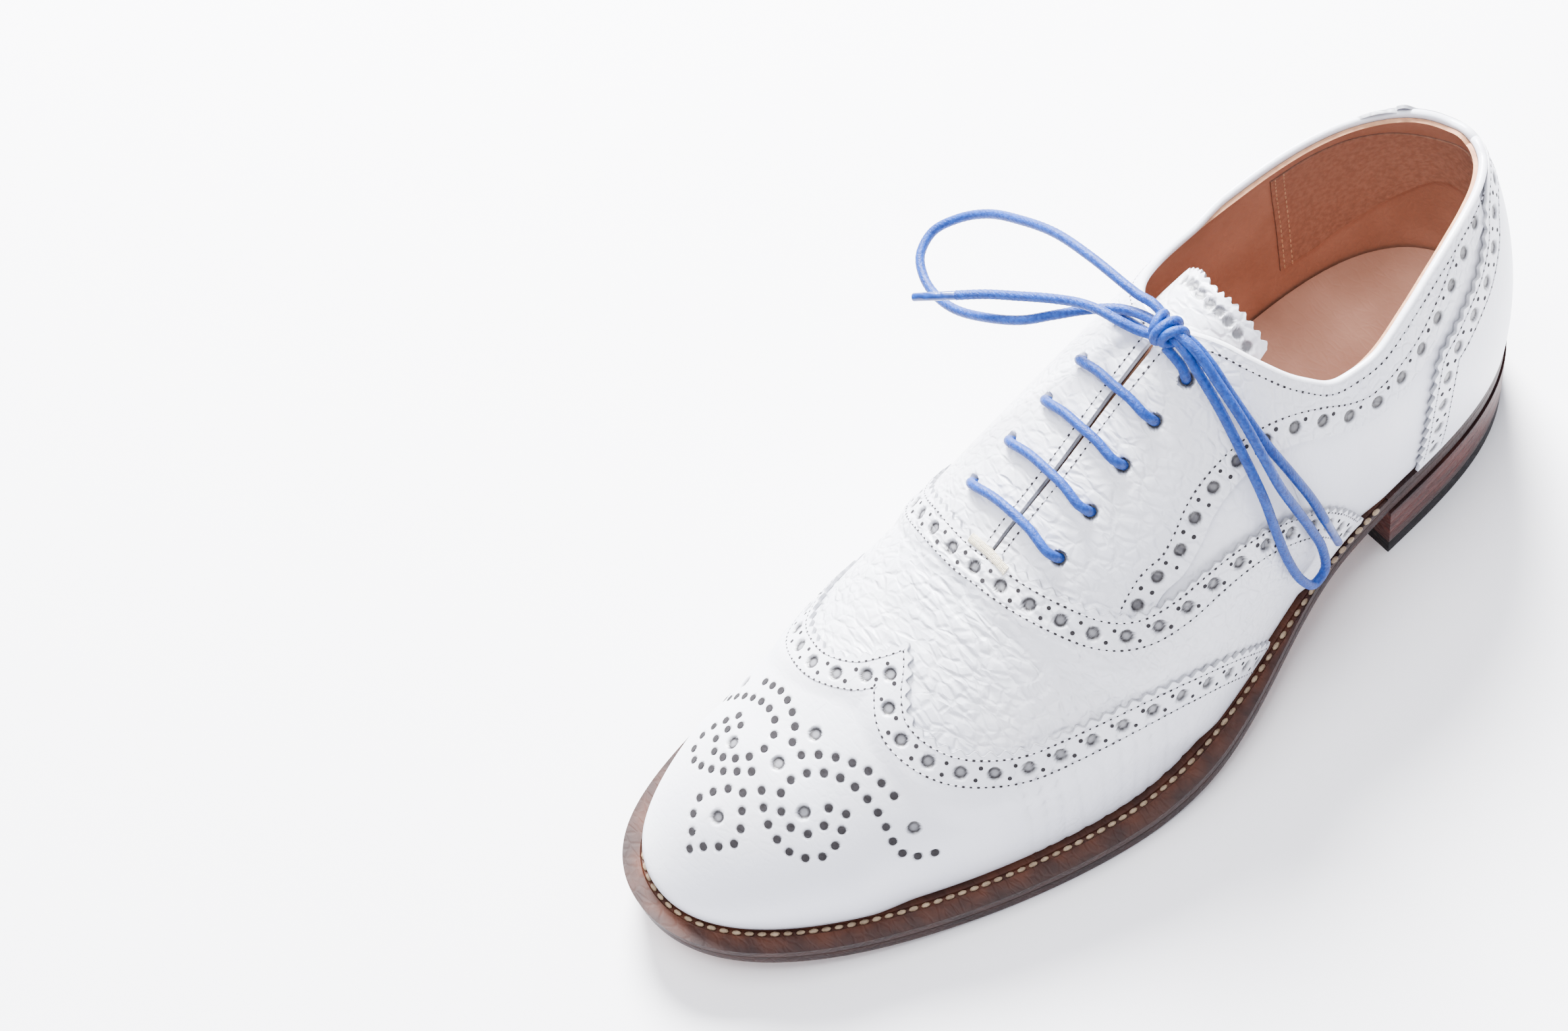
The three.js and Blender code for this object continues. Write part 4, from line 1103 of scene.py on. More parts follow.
@dataclass
class Scatter:
    """Small solids set along seams by geometry nodes, kept as one plain mesh.

    Attributes:
        name: The piece's name.
        mark: The kind of solid.
        finish: Its finish.
        size: Its length, width and height, in metres.
        variation: How far its size varies, as a share.
        seed: The seed of that variation.
    """

    name: str
    mark: Mark
    finish: Finish
    size: tuple[float, float, float]
    variation: float = 0.08
    seed: int = 1
    places: list[Array] = field(default_factory=list)
    along: list[Array] = field(default_factory=list)
    facing: list[Array] = field(default_factory=list)

    def put(self, points: Array, along: Array, facing: Array) -> None:
        """Adds places, in metres, with the direction of the seam and the way out at each."""
        for kept, more in ((self.places, points), (self.along, along), (self.facing, facing)):
            kept.append(more)

    def put_on_last(self, xy: Array, way: Array, height: Heights, lift: float) -> None:
        """Adds places of the pattern.

        Args:
            xy: The points of the pattern.
            way: The pattern's direction along the seam.
            height: The height of the piece that they lie on.
            lift: How far they stand off it, in millimetres.
        """
        way = way / np.maximum(np.linalg.norm(way, axis=1, keepdims=True), 1e-9) * 0.2
        levels = height(xy)
        points, normal = LAST.skin(xy, levels + lift)
        ahead = LAST.skin(xy + way, levels)[0] - LAST.skin(xy - way, levels)[0]
        self.put(to_frame(points), ahead, normal)

    def build(self) -> bpy.types.Object:
        """Runs the node group and keeps its result as a plain mesh.

        Returns:
            The object.
        """
        mesh = bpy.data.meshes.new(self.name + " places")
        mesh.from_pydata(np.concatenate(self.places).tolist(), [], [])
        for key, parts in (("along", self.along), ("facing", self.facing)):
            made = mesh.attributes.new(key, "FLOAT_VECTOR", "POINT")
            made.data.foreach_set("vector", np.concatenate(parts).ravel().astype(np.float32))
        piece = placed(self.name, mesh)
        name = "Scatter " + self.mark.value
        tree = bpy.data.node_groups.get(name) or scatter_group(self.mark)
        modifier = piece.modifiers.new("scatter", "NODES")
        modifier.node_group = tree
        settings = {"Size": self.size, "Variation": self.variation, "Seed": self.seed,
                    "Material": self.finish.material()}
        for item in tree.interface.items_tree:
            if item.in_out == "INPUT" and item.name in settings:
                modifier[item.identifier] = settings[item.name]
        bpy.context.view_layer.update()
        seen = piece.evaluated_get(bpy.context.evaluated_depsgraph_get())
        solid = bpy.data.meshes.new_from_object(seen)
        piece.modifiers.clear()
        piece.data = solid
        solid.shade_smooth()
        if self.mark is Mark.PIT:
            solid.set_sharp_from_angle(angle=math.radians(40))
        log.info("%s: %d faces", self.name, len(solid.polygons))
        return piece


@dataclass(frozen=True)
class Punch:
    """Round holes of one size, with shade painted into them.

    Attributes:
        xy: Their places in the pattern.
        radius: Their radius, in millimetres.
        depth: How deep they are.
        shade: How dark the shade painted on their wall is, from 0 to 1.
        floor: How dark the shade painted on their floor is, as a share of that.
    """

    xy: Array
    radius: float
    depth: float
    shade: float
    floor: float = 1.0


RIM = np.array([-0.25, 0.3])  # where a punched hole's rim curves down, from its radius
WALL = np.array([-1.2, -0.5])  # and where its floor turns into its wall


@dataclass
class Panel:
    """A piece of leather laid over the last.

    Attributes:
        name: The piece's name.
        area: Its place in the pattern.
        columns: The values of u of its grid.
        rows: The values of v of its grid.
        height: The height of its outer face.
        thickness: How far its edges turn down.
        punches: The holes in it.
        flex: Where it creases, and so where shade is painted into its creases, from 0 to 1, over the pattern.
        relief: Real folds over the pattern, in millimetres.
        facing_in: Whether its shown face looks into the shoe.
        edge_shade: How dark the shade painted along its top edge is, where it is cut.
    """

    name: str
    area: Area
    columns: Array
    rows: Array
    height: Heights
    thickness: float = 1.0
    punches: list[Punch] = field(default_factory=list)
    flex: Heights | None = None
    relief: Heights | None = None
    facing_in: bool = False
    edge_shade: float = 0.0

    def build(self, finish: Finish, edge: Finish | None = None) -> bpy.types.Object:
        """Makes the panel with its turned-down edges.

        Args:
            finish: The finish of its face.
            edge: The finish of its cut edge, if it differs.

        Returns:
            The object.
        """
        shape = (len(self.columns), len(self.rows))
        u, v = np.meshgrid(self.columns, self.rows, indexing="ij")
        xy = self.area(u.ravel(), v.ravel())
        points, normal = LAST.skin(xy, self.height(xy))
        if self.relief:
            points = points + normal * self.relief(xy)[:, None]
        # sink each hole and paint shade into it: darkest on its wall, a share of that on its floor
        sink, shade = np.zeros(len(xy)), np.zeros(len(xy))
        for punch in self.punches:
            for centre in LAST.skin(punch.xy, self.height(punch.xy))[0]:
                away = np.linalg.norm(points - centre, axis=1)
                inside = 1 - smooth(*(punch.radius + RIM), away)
                sink = np.maximum(sink, inside * punch.depth)
                wall = smooth(*(punch.radius + WALL), away)
                tone = punch.floor + (1 - punch.floor) * wall
                shade = np.maximum(shade, inside * punch.shade * tone)
        points = points - normal * sink[:, None]
        # painted shade along the cut top edge
        shade[v.ravel() == 1] = self.edge_shade
        flex = self.flex(xy) if self.flex else np.zeros(len(xy))
        face = to_frame(points).reshape(*shape, 3)
        way = 1.0 if self.facing_in else -1.0
        back = to_frame(points + way * normal * self.thickness).reshape(*shape, 3)
        flat = -normal if not self.facing_in else normal
        a, b = face[1, 0] - face[0, 0], face[0, 1] - face[0, 0]
        flip = bool(np.dot(np.cross(a, b), flat[0]) < 0)
        shell = Shell(self.name)
        shell.grid(face, flip=not flip, punch=shade.reshape(shape), flex=flex.reshape(shape))
        cut = 1 if edge else 0
        for side, turned in ((np.s_[0, :], True), (np.s_[-1, :], False),
                             (np.s_[:, 0], False), (np.s_[:, -1], True)):
            strip = np.stack([face[side], back[side]])
            # the cut edges take painted shade, unless they have a finish of their own
            shell.grid(strip, flip=turned == flip, material=cut,
                       punch=np.full(strip.shape[:2], 0.0 if edge else CUT_SHADE))
        return shell.build([finish, edge] if edge else [finish])


def spaced(count: int, crowd_middle: float = 0.0) -> Array:
    """Values from 0 to 1, drawn together in the middle if asked."""
    t = np.linspace(0, 1, count)
    return t + crowd_middle * np.sin(2 * math.pi * t) / (2 * math.pi)


def towards_top(coarse: int, fine: int, split: float) -> Array:
    """Values from 0 to 1: coarse steps up to split, then fine ones."""
    low = np.linspace(0, split, coarse, endpoint=False)
    return np.concatenate([low, np.linspace(split, 1, fine)])


# ---------------------------------------------------------------- the pattern
CAP_EDGE = ((-33.6, 9), (-32, -8), (-31, -20), (-30, -33), (-27.5, -45), (-24.2, -54.3),
            (-20.4, -62), (-15.6, -65.5), (-11, -66.5), (-6.3, -63.9), (-3.2, -58.5),
            (-0.8, -53.5), (2.2, -56), (4.8, -60), (8.1, -62.8), (12.2, -61.8), (16.6, -58.2),
            (20.6, -52.4), (24.1, -45.4), (26.7, -37.5), (31.3, -20.6), (35.8, -2.6), (40.3, 15),
            (44.6, 28))
CAP_LAP = ((-37, -10), (-37, -28), (-35, -42), (-31, -55), (-26.5, -66), (-20, -72),
           (-12, -73.5), (-5.5, -70.5), (-1, -66.5), (3, -69), (9, -69.8), (15, -68.5),
           (21, -63.5), (26, -56), (30, -48), (33, -39), (38, -22), (43, -8), (49.5, 6))
VAMP_EDGE = ((-30.6, 67), (-27.5, 58), (-24.5, 46), (-24, 34), (-24, 24), (-24.5, 12),
             (-24.2, 0), (-23.2, -10), (-19, -19.5), (-12, -23.3), (-4.5, -24.8), (1, -24),
             (7.5, -21.7), (14, -17.6), (20, -12), (23.6, -5), (25.2, 4), (25.6, 14), (26, 24),
             (27, 36), (29.2, 49), (32, 58), (36.2, 67))
OUTER_LAP = ((1.5, -30), (8, -28.5), (17, -24), (25, -17.5), (29.5, -9), (31.5, 3), (32, 16),
             (33, 30), (36, 46))
INNER_LAP = ((-2.5, -31), (-12, -29.5), (-21, -25), (-26.5, -15.5), (-27.8, -3), (-27.4, 12),
             (-27.4, 26), (-28.5, 40))
OUTER_SLIT = ((0.3, -28), (0.3, -21), (0.1, 0), (-1.0, 20), (-2.0, 38.8))
INNER_SLIT = ((-0.4, -28), (-0.4, -21), (-0.8, 0), (-2.1, 20), (-3.4, 38))
OUTER_TOP = ((-2.0, 38.8), (4.9, 44.9), (9.3, 48.6), (13.3, 53.3), (15.8, 58), (17.6, 63),
             (18, 69), (17.4, 78), (15.3, 89.3), (13.4, 98.3), (11.2, 108), (8.4, 118.4),
             (5.2, 126.8), (1.3, 132.5), (-3.2, 135))
INNER_TOP = ((-3.4, 38), (-7, 38.2), (-11, 40), (-13.9, 43.9), (-16, 49.5), (-17.8, 57.4),
             (-19.6, 70.2), (-20.6, 82.6), (-20.5, 97), (-19.3, 109.9), (-16.9, 120.7),
             (-13.2, 128.7), (-8.5, 133.7), (-3.2, 135))
OUTER_BAND = ((25.6, -5), (24.2, 2), (24.2, 9), (22.8, 16), (21, 22.5), (20, 30), (19.7, 38),
              (20.3, 46), (21.6, 54), (23.2, 62), (23.8, 70), (23.2, 78), (22, 86), (20.5, 93),
              (18.5, 100), (15.5, 108.5), (11.5, 118.5), (9.6, 123))
INNER_BAND = ((-24.6, -5), (-23.2, 2), (-22.8, 9), (-21.6, 16), (-20.6, 24), (-20.2, 33),
              (-20.6, 42), (-22, 52), (-23.6, 62), (-24.6, 71), (-24.8, 80), (-24.4, 89),
              (-23.2, 98), (-21.4, 105.5), (-19.4, 112), (-17, 119), (-15.6, 123))
COUNTER_EDGE = ((34.2, 88), (29, 88.3), (25.2, 90.4), (22, 94), (19.9, 101), (17.9, 107),
                (15.4, 113.5), (12, 119.5), (8.6, 123.4), (6.6, 126), (1.3, 132.5), (-3.4, 135),
                (-8.5, 133.7), (-12.6, 129.6), (-14.2, 126), (-17.6, 121.4), (-20.8, 115),
                (-23.2, 107), (-25, 98), (-27.3, 91), (-30, 88), (-32.2, 87.5))
OUTER_START = ((25.6, -5), (22.5, -11), (18, -16), (12.5, -20.5), (7, -24), (0.3, -28))
INNER_START = ((-24.6, -5), (-22.8, -12), (-18.4, -20), (-12, -24.8), (-5, -27), (-0.4, -28))
GRIP_FOOT = ((31.8, 98.5), (28.2, 112), (22, 125), (12.5, 135.4), (-2.2, 140.8), (-15.5, 135.6),
             (-24, 125.4), (-28.8, 112), (-30.2, 98.5))
GRIP_TOP = ((15, 93.5), (13.6, 100), (11.7, 109), (9.3, 118.2), (6.5, 126.4), (2.2, 132.8),
            (-3.3, 136), (-9.4, 134.8), (-14.4, 129.6), (-18, 121), (-20.2, 109.9),
            (-21.4, 97), (-21.6, 91))
TONGUE_OUTER = ((9, -33), (13, -10), (14.5, 12), (14, 36), (11, 56))
TONGUE_INNER = ((-9, -33), (-14, -10), (-16.5, 12), (-17, 36), (-15.5, 54))
EYELETS = {Side.OUTER: ((9.4, -13.2), (8.4, -1.2), (7.4, 11), (6.4, 22.7), (5.4, 34)),
           Side.INNER: ((-11.4, -14.6), (-10.8, -2.1), (-10.4, 9.6), (-10.4, 21), (-11, 32.6))}

# The medallion: one half of each shape, and the line that it is mirrored about.
MEDALLION_AXIS = ((0.4, -53.6), (-7.9, -140.1))
MEDALLION_LEAN = 0.28  # the figure leans towards the inner side
MEDALLION_BIG = ((0, 31.6), (0, 43.2), (0, 62.4), (8.8, 44.6), (21.6, 26.7))
MEDALLION_STRINGS = (
    ((1.4, 37.4), (3.8, 33), (6.4, 30), (10, 27), (13, 26.1), (15.8, 25.6)),
    ((3.6, 42.8), (4.4, 38.8), (7.2, 34.2), (11.4, 31.4), (16.6, 31), (21.6, 32.6), (25, 32),
     (27.4, 27)),
    ((1.8, 50), (6.2, 52.8), (11.6, 52.4), (15.2, 48.2), (15.6, 43), (13.2, 37)),
    ((4.2, 46.4), (6.2, 48.6), (9, 49), (11.6, 46.6), (12.3, 42.6), (10.8, 39.4)),
    ((0, 54.4), (5, 61.2), (0, 69.8)),
)
MEDALLION_PITCH = 4.5

ROW_NEAR = 1.7  # from a cut edge to its first row of stitching
ROW_FAR = 9.0  # and to its second
BROGUE_AT = 5.35
BROGUE_PITCH = 8.9
PAIR_HALF = 1.65
BIG_RADIUS = 1.85
TOOTH_PITCH = 3.9
TOOTH_DEPTH = 1.5
STIFFENER_RISE = 1.35
BASE_DROP = 1.1
PUFF_FROM = -101.0
COUNTER_FROM = 78.0
STITCH_PITCH = 1.95
# how dark the shade painted on the panels' cut edges is
CUT_SHADE = 0.6
# how dark the shade painted along the pinked top edges is
EDGE_SHADE = 0.5
EYELET_RADIUS = 1.95
EYELET_DEPTH = 2.0
# how dark the shade painted into the lace holes is
EYELET_SHADE = 0.9


def stiffened(xy: Array) -> Array:
    """How far the leather rises over the toe puff and the heel stiffener."""
    toe = 1 - smooth(PUFF_FROM, PUFF_FROM + 14, xy[:, 1])
    return STIFFENER_RISE * np.maximum(toe, smooth(COUNTER_FROM - 14, COUNTER_FROM, xy[:, 1]))


def base(xy: Array) -> Array:
    """The height of leather that nothing else lies under."""
    return stiffened(xy) - BASE_DROP


OUTER_TOPLINE, INNER_TOPLINE = Line.through(OUTER_TOP), Line.through(INNER_TOP)
QUARTERS = {
    Side.OUTER: Patch(Line.chain((0.36, Line.through(OUTER_LAP)),
                                 (0.64, Line.on_feather(6.7, 11))),
                      Line.chain((0.36, Line.through(OUTER_SLIT)), (0.64, OUTER_TOPLINE))),
    Side.INNER: Patch(Line.chain((0.36, Line.through(INNER_LAP)),
                                 (0.64, Line.on_feather(15.47, 11))),
                      Line.chain((0.36, Line.through(INNER_SLIT)), (0.64, INNER_TOPLINE))),
}
FACINGS = {
    Side.OUTER: Patch(Line.through(OUTER_BAND),
                      Line.chain((0.4, Line.through(OUTER_SLIT)),
                                 (0.6, Line.through((*OUTER_TOP[:-3], (6.2, 124.2))))),
                      start=Line.through(OUTER_START)),
    Side.INNER: Patch(Line.through(INNER_BAND),
                      Line.chain((0.4, Line.through(INNER_SLIT)),
                                 (0.6, Line.through((*INNER_TOP[:-3], (-14.6, 126))))),
                      start=Line.through(INNER_START)),
}
VAMP_AREA = Patch(Line.through(CAP_LAP), Line.through(VAMP_EDGE).pinked(TOOTH_PITCH, TOOTH_DEPTH),
                  Line.on_feather(16.95, 14.68), Line.on_feather(5.53, 7.33))
CAP_AREA = Patch(Line.on_feather(-5.55, 6.15),
                 Line.through(CAP_EDGE).pinked(TOOTH_PITCH, TOOTH_DEPTH))
COUNTER_AREA = Patch(Line.on_feather(7.97, 14.03),
                     Line.through(COUNTER_EDGE).pinked(TOOTH_PITCH, TOOTH_DEPTH, below=125.0))
VAMP_BORDER, COUNTER_BORDER = VAMP_AREA.border(), COUNTER_AREA.border()
QUARTER_BORDERS = [area.border() for area in QUARTERS.values()]


def cap_height(xy: Array) -> Array:
    """The cap's face: it steps up where it laps over the vamp."""
    clear = distance_outside(VAMP_BORDER, xy)
    return base(xy) + 1.15 * (1 - smooth(0.5, 6, clear))


def vamp_height(xy: Array) -> Array:
    """The vamp's face: it steps up where it laps over the quarters."""
    clear = np.minimum(*[distance_outside(border, xy) for border in QUARTER_BORDERS])
    return base(xy) + 1.6 * (1 - smooth(0.5, 6, clear))


def facing_height(xy: Array) -> Array:
    """The facing's face: it dips under the vamp and under the counter cover."""
    clear = np.minimum(distance_outside(VAMP_BORDER, xy), distance_outside(COUNTER_BORDER, xy))
    return stiffened(xy) - 0.45 * (1 - smooth(0, 6, clear))


def counter_height(xy: Array) -> Array:
    """The counter cover's face."""
    return stiffened(xy) + 0.35


def level(height: float) -> Heights:
    """A constant height."""
    return lambda xy: np.full(len(xy), height)


LINING_FACE = -3.9
LINING_TOP = -2.3
TONGUE_FACE = -4.75


def lining_height(xy: Array) -> Array:
    """The lining's inner face: it thins out towards the topline.

    Args:
        xy: The points of the pattern.

    Returns:
        The heights.
    """
    line = np.concatenate([OUTER_TOPLINE.table, INNER_TOPLINE.table])[::6]
    away = np.sqrt(((xy[:, None] - line) ** 2).sum(2).min(1))
    return LINING_TOP + (LINING_FACE - LINING_TOP) * smooth(0.5, 7, away)


def grip_height(xy: Array) -> Array:
    """The heel grip's face, over the lining."""
    return lining_height(xy) - 0.5


def tongue_height(xy: Array) -> Array:
    """The tongue drops behind the throat to leave room for the cord."""
    return TONGUE_FACE - 2.9 * smooth(-32, -22, xy[:, 1])


def within(area: Patch | None, xy: Array, *others: Array) -> list[Array]:
    """Keeps the points that lie well inside a piece.

    Args:
        area: The piece's place in the pattern, or None to keep them all.
        xy: The points of the pattern.
        others: Further values for each point.

    Returns:
        The points that stay, and their values.
    """
    if area is None:
        return [xy, *others]
    border, least = area.border(220), 1.2
    inside = distance_outside(border, xy) == 0
    gap = np.sqrt(((xy[:, None] - border) ** 2).sum(2).min(1))
    return [part[inside & (gap > least)] for part in (xy, *others)]


# ---------------------------------------------------------------- the upper
@dataclass
class Seams:
    """All the stitches of the upper, and the small pits of painted shade in its holes, gathered seam by seam."""

    stitches: Scatter = field(default_factory=lambda: Scatter(
        "seam_stitches", Mark.STITCH, SEAM_THREAD, (0.00145, 0.00042, 0.00034), 0.1, 3))
    needles: Scatter = field(default_factory=lambda: Scatter(
        "needle_holes", Mark.PIT, HOLE_SHADE, (0.00092, 0.00052, 0.00012), 0.25, 5))
    pairs: Scatter = field(default_factory=lambda: Scatter(
        "small_punches", Mark.PIT, HOLE_SHADE, (0.00115, 0.00115, 0.00012), 0.1, 7))
    medallion: Scatter = field(default_factory=lambda: Scatter(
        "medallion_punches", Mark.PIT, HOLE_SHADE, (0.0021, 0.0021, 0.00012), 0.06, 15))
    count: int = 0

    def row(self, line: Line, height: Heights, start: float = 1.0, end: float = 1.0,
            area: Patch | None = None) -> None:
        """Sews one row of stitches.

        Args:
            line: The row's line of the pattern.
            height: The height of the piece that it is sewn on.
            start: What is left free at its start.
            end: What is left free at its end.
            area: Where the piece lies, if the line runs out of it.
        """
        xy, way = within(area, *line.places(STITCH_PITCH, start, end))
        self.stitches.put_on_last(xy, way, height, 0.02)
        xy, way = within(area, *line.places(STITCH_PITCH, start + STITCH_PITCH / 2,
                                            end + STITCH_PITCH / 2))
        # a disc of painted shade in each needle hole
        self.needles.put_on_last(xy, way, height, 0.0)
        self.count += len(xy)

    def brogue(self, edge: Line, side: float, height: Heights, near: float = ROW_NEAR,
               free: float = 3.0, depth: float = 0.8, floor: float = 0.72,
               area: Patch | None = None) -> Punch:
        """Sews and punches a band along an edge.

        Args:
            edge: The edge's line of the pattern.
            side: 1 or -1, for the side of the line that the band lies on.
            height: The height of the piece.
            near: From the edge to the first row of stitching.
            free: What is left free at both ends.
            depth: The depth of the large holes.
            floor: How dark the shade painted on their floor is, against their wall.
            area: Where the piece lies, if the band runs out of it.

        Returns:
            The band's large holes.
        """
        shift = near - ROW_NEAR
        self.row(edge.inset(near, side), height, area=area)
        self.row(edge.inset(ROW_FAR + shift, side), height, area=area)
        middle = edge.inset(BROGUE_AT + shift, side)
        xy, _ = middle.places(BROGUE_PITCH, free, free)
        pitch = (middle.real()[-1] - 2 * free) / (len(xy) - 1)
        for offset in (-PAIR_HALF, PAIR_HALF):
            pair = edge.inset(BROGUE_AT + shift + offset, side)
            real, whole = pair.real()[-1], middle.real()[-1]
            step = pitch * real / whole
            begin = (free * real / whole) + step / 2
            at, way = within(area, *pair.places(step, begin, begin))
            # discs of painted shade in the small punched pairs
            self.pairs.put_on_last(at, way, height, 0.0)
        # the large holes take painted shade, full on their walls
        return Punch(within(area, xy)[0], BIG_RADIUS, depth, 1.0, floor)

    def build(self) -> None:
        """Makes the stitches, and the discs of painted shade in the needle holes and the small punches."""
        for piece in (self.stitches, self.needles, self.pairs, self.medallion):
            dress(piece.build(), Slot.WHITE)
        log.info("seams: %d stitches", self.count)


@dataclass
class WingCap:
    """The wing cap with its medallion."""

    seams: Seams

    def medallion(self) -> list[Punch]:
        """The punched flower at the toe.

        Returns:
            Its large and its small holes.
        """
        top, toe = np.array(MEDALLION_AXIS, float)
        along = (toe - top) / np.linalg.norm(toe - top)
        across = np.array([-along[1], along[0]])

        def laid(points: Sequence[tuple[float, float]], side: int) -> Array:
            """Lays one half's points on the cap: 1 as they are, or -1 mirrored."""
            p = np.array(points, float) * [side, 1]
            return top + p[:, :1] * across + (p[:, 1:] - MEDALLION_LEAN * p[:, :1]) * along

        big = np.concatenate([laid(MEDALLION_BIG, side) for side in (1, -1)])
        small = []
        for string in MEDALLION_STRINGS:
            for side in (1, -1):
                xy, way = Line.through(laid(string, side)).places(MEDALLION_PITCH)
                # discs of painted shade in the medallion's small holes
                self.seams.medallion.put_on_last(xy, way, cap_height, 0.0)
                small.append(xy)
        # both sizes of hole take painted shade, full on their walls
        return [Punch(big, 1.85, 0.8, 1.0, 0.75), Punch(np.concatenate(small), 1.1, 0.5, 1.0)]

    @staticmethod
    def folds(xy: Array) -> Array:
        """Fine folds where the wings bend.

        Args:
            xy: The points of the pattern.

        Returns:
            The relief, in millimetres.
        """
        x, y = xy[:, 0], xy[:, 1]
        where = smooth(-62, -48, y) * (1 - smooth(-12, 4, y)) * smooth(14, 26, np.abs(x))
        wave = np.sin(1.15 * y + 0.35 * np.abs(x) + 1.2 * np.sin(0.21 * y + 0.11 * x))
        return -0.3 * where * np.maximum(wave, 0) ** 3

    def build(self) -> None:
        """Makes the cap."""
        band = self.seams.brogue(Line.through(CAP_EDGE), 1, cap_height)
        panel = Panel("wing_cap_leather", CAP_AREA, spaced(480, 0.35), towards_top(96, 92, 0.5),
                      cap_height, punches=[band, *self.medallion()], relief=self.folds,
                      edge_shade=EDGE_SHADE, flex=lambda xy: smooth(-66, -46, xy[:, 1]) * 0.6)
        dress(panel.build(WHITE), Slot.WHITE, "wing_cap")


@dataclass
class Vamp:
    """The vamp, with the creases of its tumbled leather."""

    seams: Seams

    @staticmethod
    def folds(xy: Array) -> Array:
        """The folds across the ball of the foot.

        Args:
            xy: The points of the pattern.

        Returns:
            The relief, in millimetres.
        """
        x, y = xy[:, 0], xy[:, 1]
        depth = np.zeros(len(xy))
        for at, bow, size in ((-50, 0.004, 0.12), (-44.5, 0.006, 0.2), (-39, 0.007, 0.26),
                              (-34.5, 0.008, 0.3), (-30.5, 0.009, 0.2)):
            line = at + bow * x**2 + 0.9 * np.sin(0.32 * x + at)
            depth += size * np.exp(-(((y - line) / 0.75) ** 2))
        return -depth * (1 - smooth(16, 27, np.abs(x)))

    def build(self) -> None:
        """Makes the vamp."""
        band = self.seams.brogue(Line.through(VAMP_EDGE), 1, vamp_height)
        panel = Panel("vamp_leather", VAMP_AREA, spaced(470, 0.1), towards_top(46, 74, 0.55),
                      vamp_height, punches=[band], relief=self.folds, edge_shade=EDGE_SHADE,
                      flex=lambda xy: 0.45 + 0.55 * (1 - smooth(-35, 5, xy[:, 1])))
        dress(panel.build(TUMBLED), Slot.WHITE, "vamp")


@dataclass
class Quarter:
    """One side of the shoe behind the vamp: its leather, facing strip and lining."""

    side: Side
    seams: Seams

    @property
    def _sign(self) -> float:
        """1 on the outer side and -1 on the inner side."""
        return 1.0 if self.side is Side.OUTER else -1.0

    def eyelets(self) -> Punch:
        """The side's lace holes, with shade painted into them."""
        return Punch(np.array(EYELETS[self.side]), EYELET_RADIUS, EYELET_DEPTH, EYELET_SHADE)

    @staticmethod
    def flex(xy: Array) -> Array:
        """Where the quarter creases."""
        return 0.25 + 0.5 * (1 - smooth(20, 60, xy[:, 1]))

    def build(self) -> None:
        """Makes the leather, the facing and the lining."""
        name = self.side.value
        leather = Panel("quarter_leather_" + name, QUARTERS[self.side], spaced(190), spaced(70),
                        base, punches=[self.eyelets()], flex=self.flex)
        dress(leather.build(WHITE), Slot.WHITE, "quarter_" + name)
        lining = Panel("quarter_lining_" + name + "_leather", QUARTERS[self.side], spaced(150),
                       spaced(46), lining_height, 1.2, facing_in=True)
        dress(lining.build(TAN, RAW_TAN), Slot.TAN, "quarter_lining_" + name)
        self.facing()
        self.topline()

    def facing(self) -> None:
        """Makes the facing and collar strip with its band of holes."""
        outer = self.side is Side.OUTER
        edge = Line.through(OUTER_BAND if outer else INNER_BAND)
        slit = Line.through(OUTER_SLIT if outer else INNER_SLIT)
        band = self.seams.brogue(edge, -self._sign, facing_height, near=0.9, free=4.0, depth=0.5,
                                 floor=0.9, area=FACINGS[self.side])
        self.seams.row(slit.inset(2.2, self._sign), facing_height, 6.0, 3.0)
        panel = Panel("facing_leather_" + self.side.value, FACINGS[self.side], spaced(370),
                      spaced(74), facing_height,
                      punches=[band, self.eyelets()], flex=self.flex)
        dress(panel.build(TUMBLED), Slot.WHITE, "facing_" + self.side.value)

    def topline(self) -> None:
        """Rolls the leather over the topline, and sews the row below it."""
        outer = self.side is Side.OUTER
        line = OUTER_TOPLINE if outer else INNER_TOPLINE
        inwards = self._sign
        self.seams.row(line.inset(2.4, inwards), facing_height, 3.0, 1.0)
        line = line.thinned(0.8)
        roll, rows = 1.15, []
        for turn in np.linspace(0, math.pi, 9):
            out = line.table if math.sin(turn) < 1e-6 else LAST.step_inwards(
                line.table, line.across(-inwards), roll * math.sin(turn))
            drop = 1.2 * (1 - math.cos(turn))
            rows.append(LAST.skin(out, stiffened(line.table) + 0.05 - drop)[0])
        points = to_frame(np.stack(rows))
        shell = Shell("topline_roll_" + self.side.value)
        shell.grid(points, flip=outer, flex=np.full(points.shape[:2], 0.2))
        dress(shell.build([WHITE]), Slot.WHITE)


@dataclass
class Counter:
    """The counter cover, its neck up the back and the lining's heel grip."""

    seams: Seams

    def build(self) -> None:
        """Makes the cover and the grip."""
        edge = Line.through(COUNTER_EDGE)
        band = self.seams.brogue(edge, 1, counter_height, depth=0.6)
        panel = Panel("counter_leather", COUNTER_AREA, spaced(400), towards_top(40, 70, 0.5),
                      counter_height, punches=[band], edge_shade=EDGE_SHADE)
        dress(panel.build(WHITE), Slot.WHITE, "counter_cover")
        grip = Panel("heel_grip_suede", Patch(Line.through(GRIP_FOOT), Line.through(GRIP_TOP)),
                     spaced(140), spaced(36), grip_height, 0.5, facing_in=True)
        dress(grip.build(SUEDE), Slot.SUEDE, "heel_grip")
        thread = Scatter("grip_stitches", Mark.STITCH, TAN_THREAD, (0.0017, 0.0005, 0.0004),
                         0.1, 9)
        for end, sign in ((0, -1.0), (-1, 1.0)):
            for distance in (1.4, 4.2):
                row = straight(GRIP_TOP[end], GRIP_FOOT[end]).inset(distance, sign)
                xy, way = row.places(2.3, 1, 1)
                thread.put_on_last(xy, way, grip_height, -0.05)
        dress(thread.build(), Slot.SUEDE)


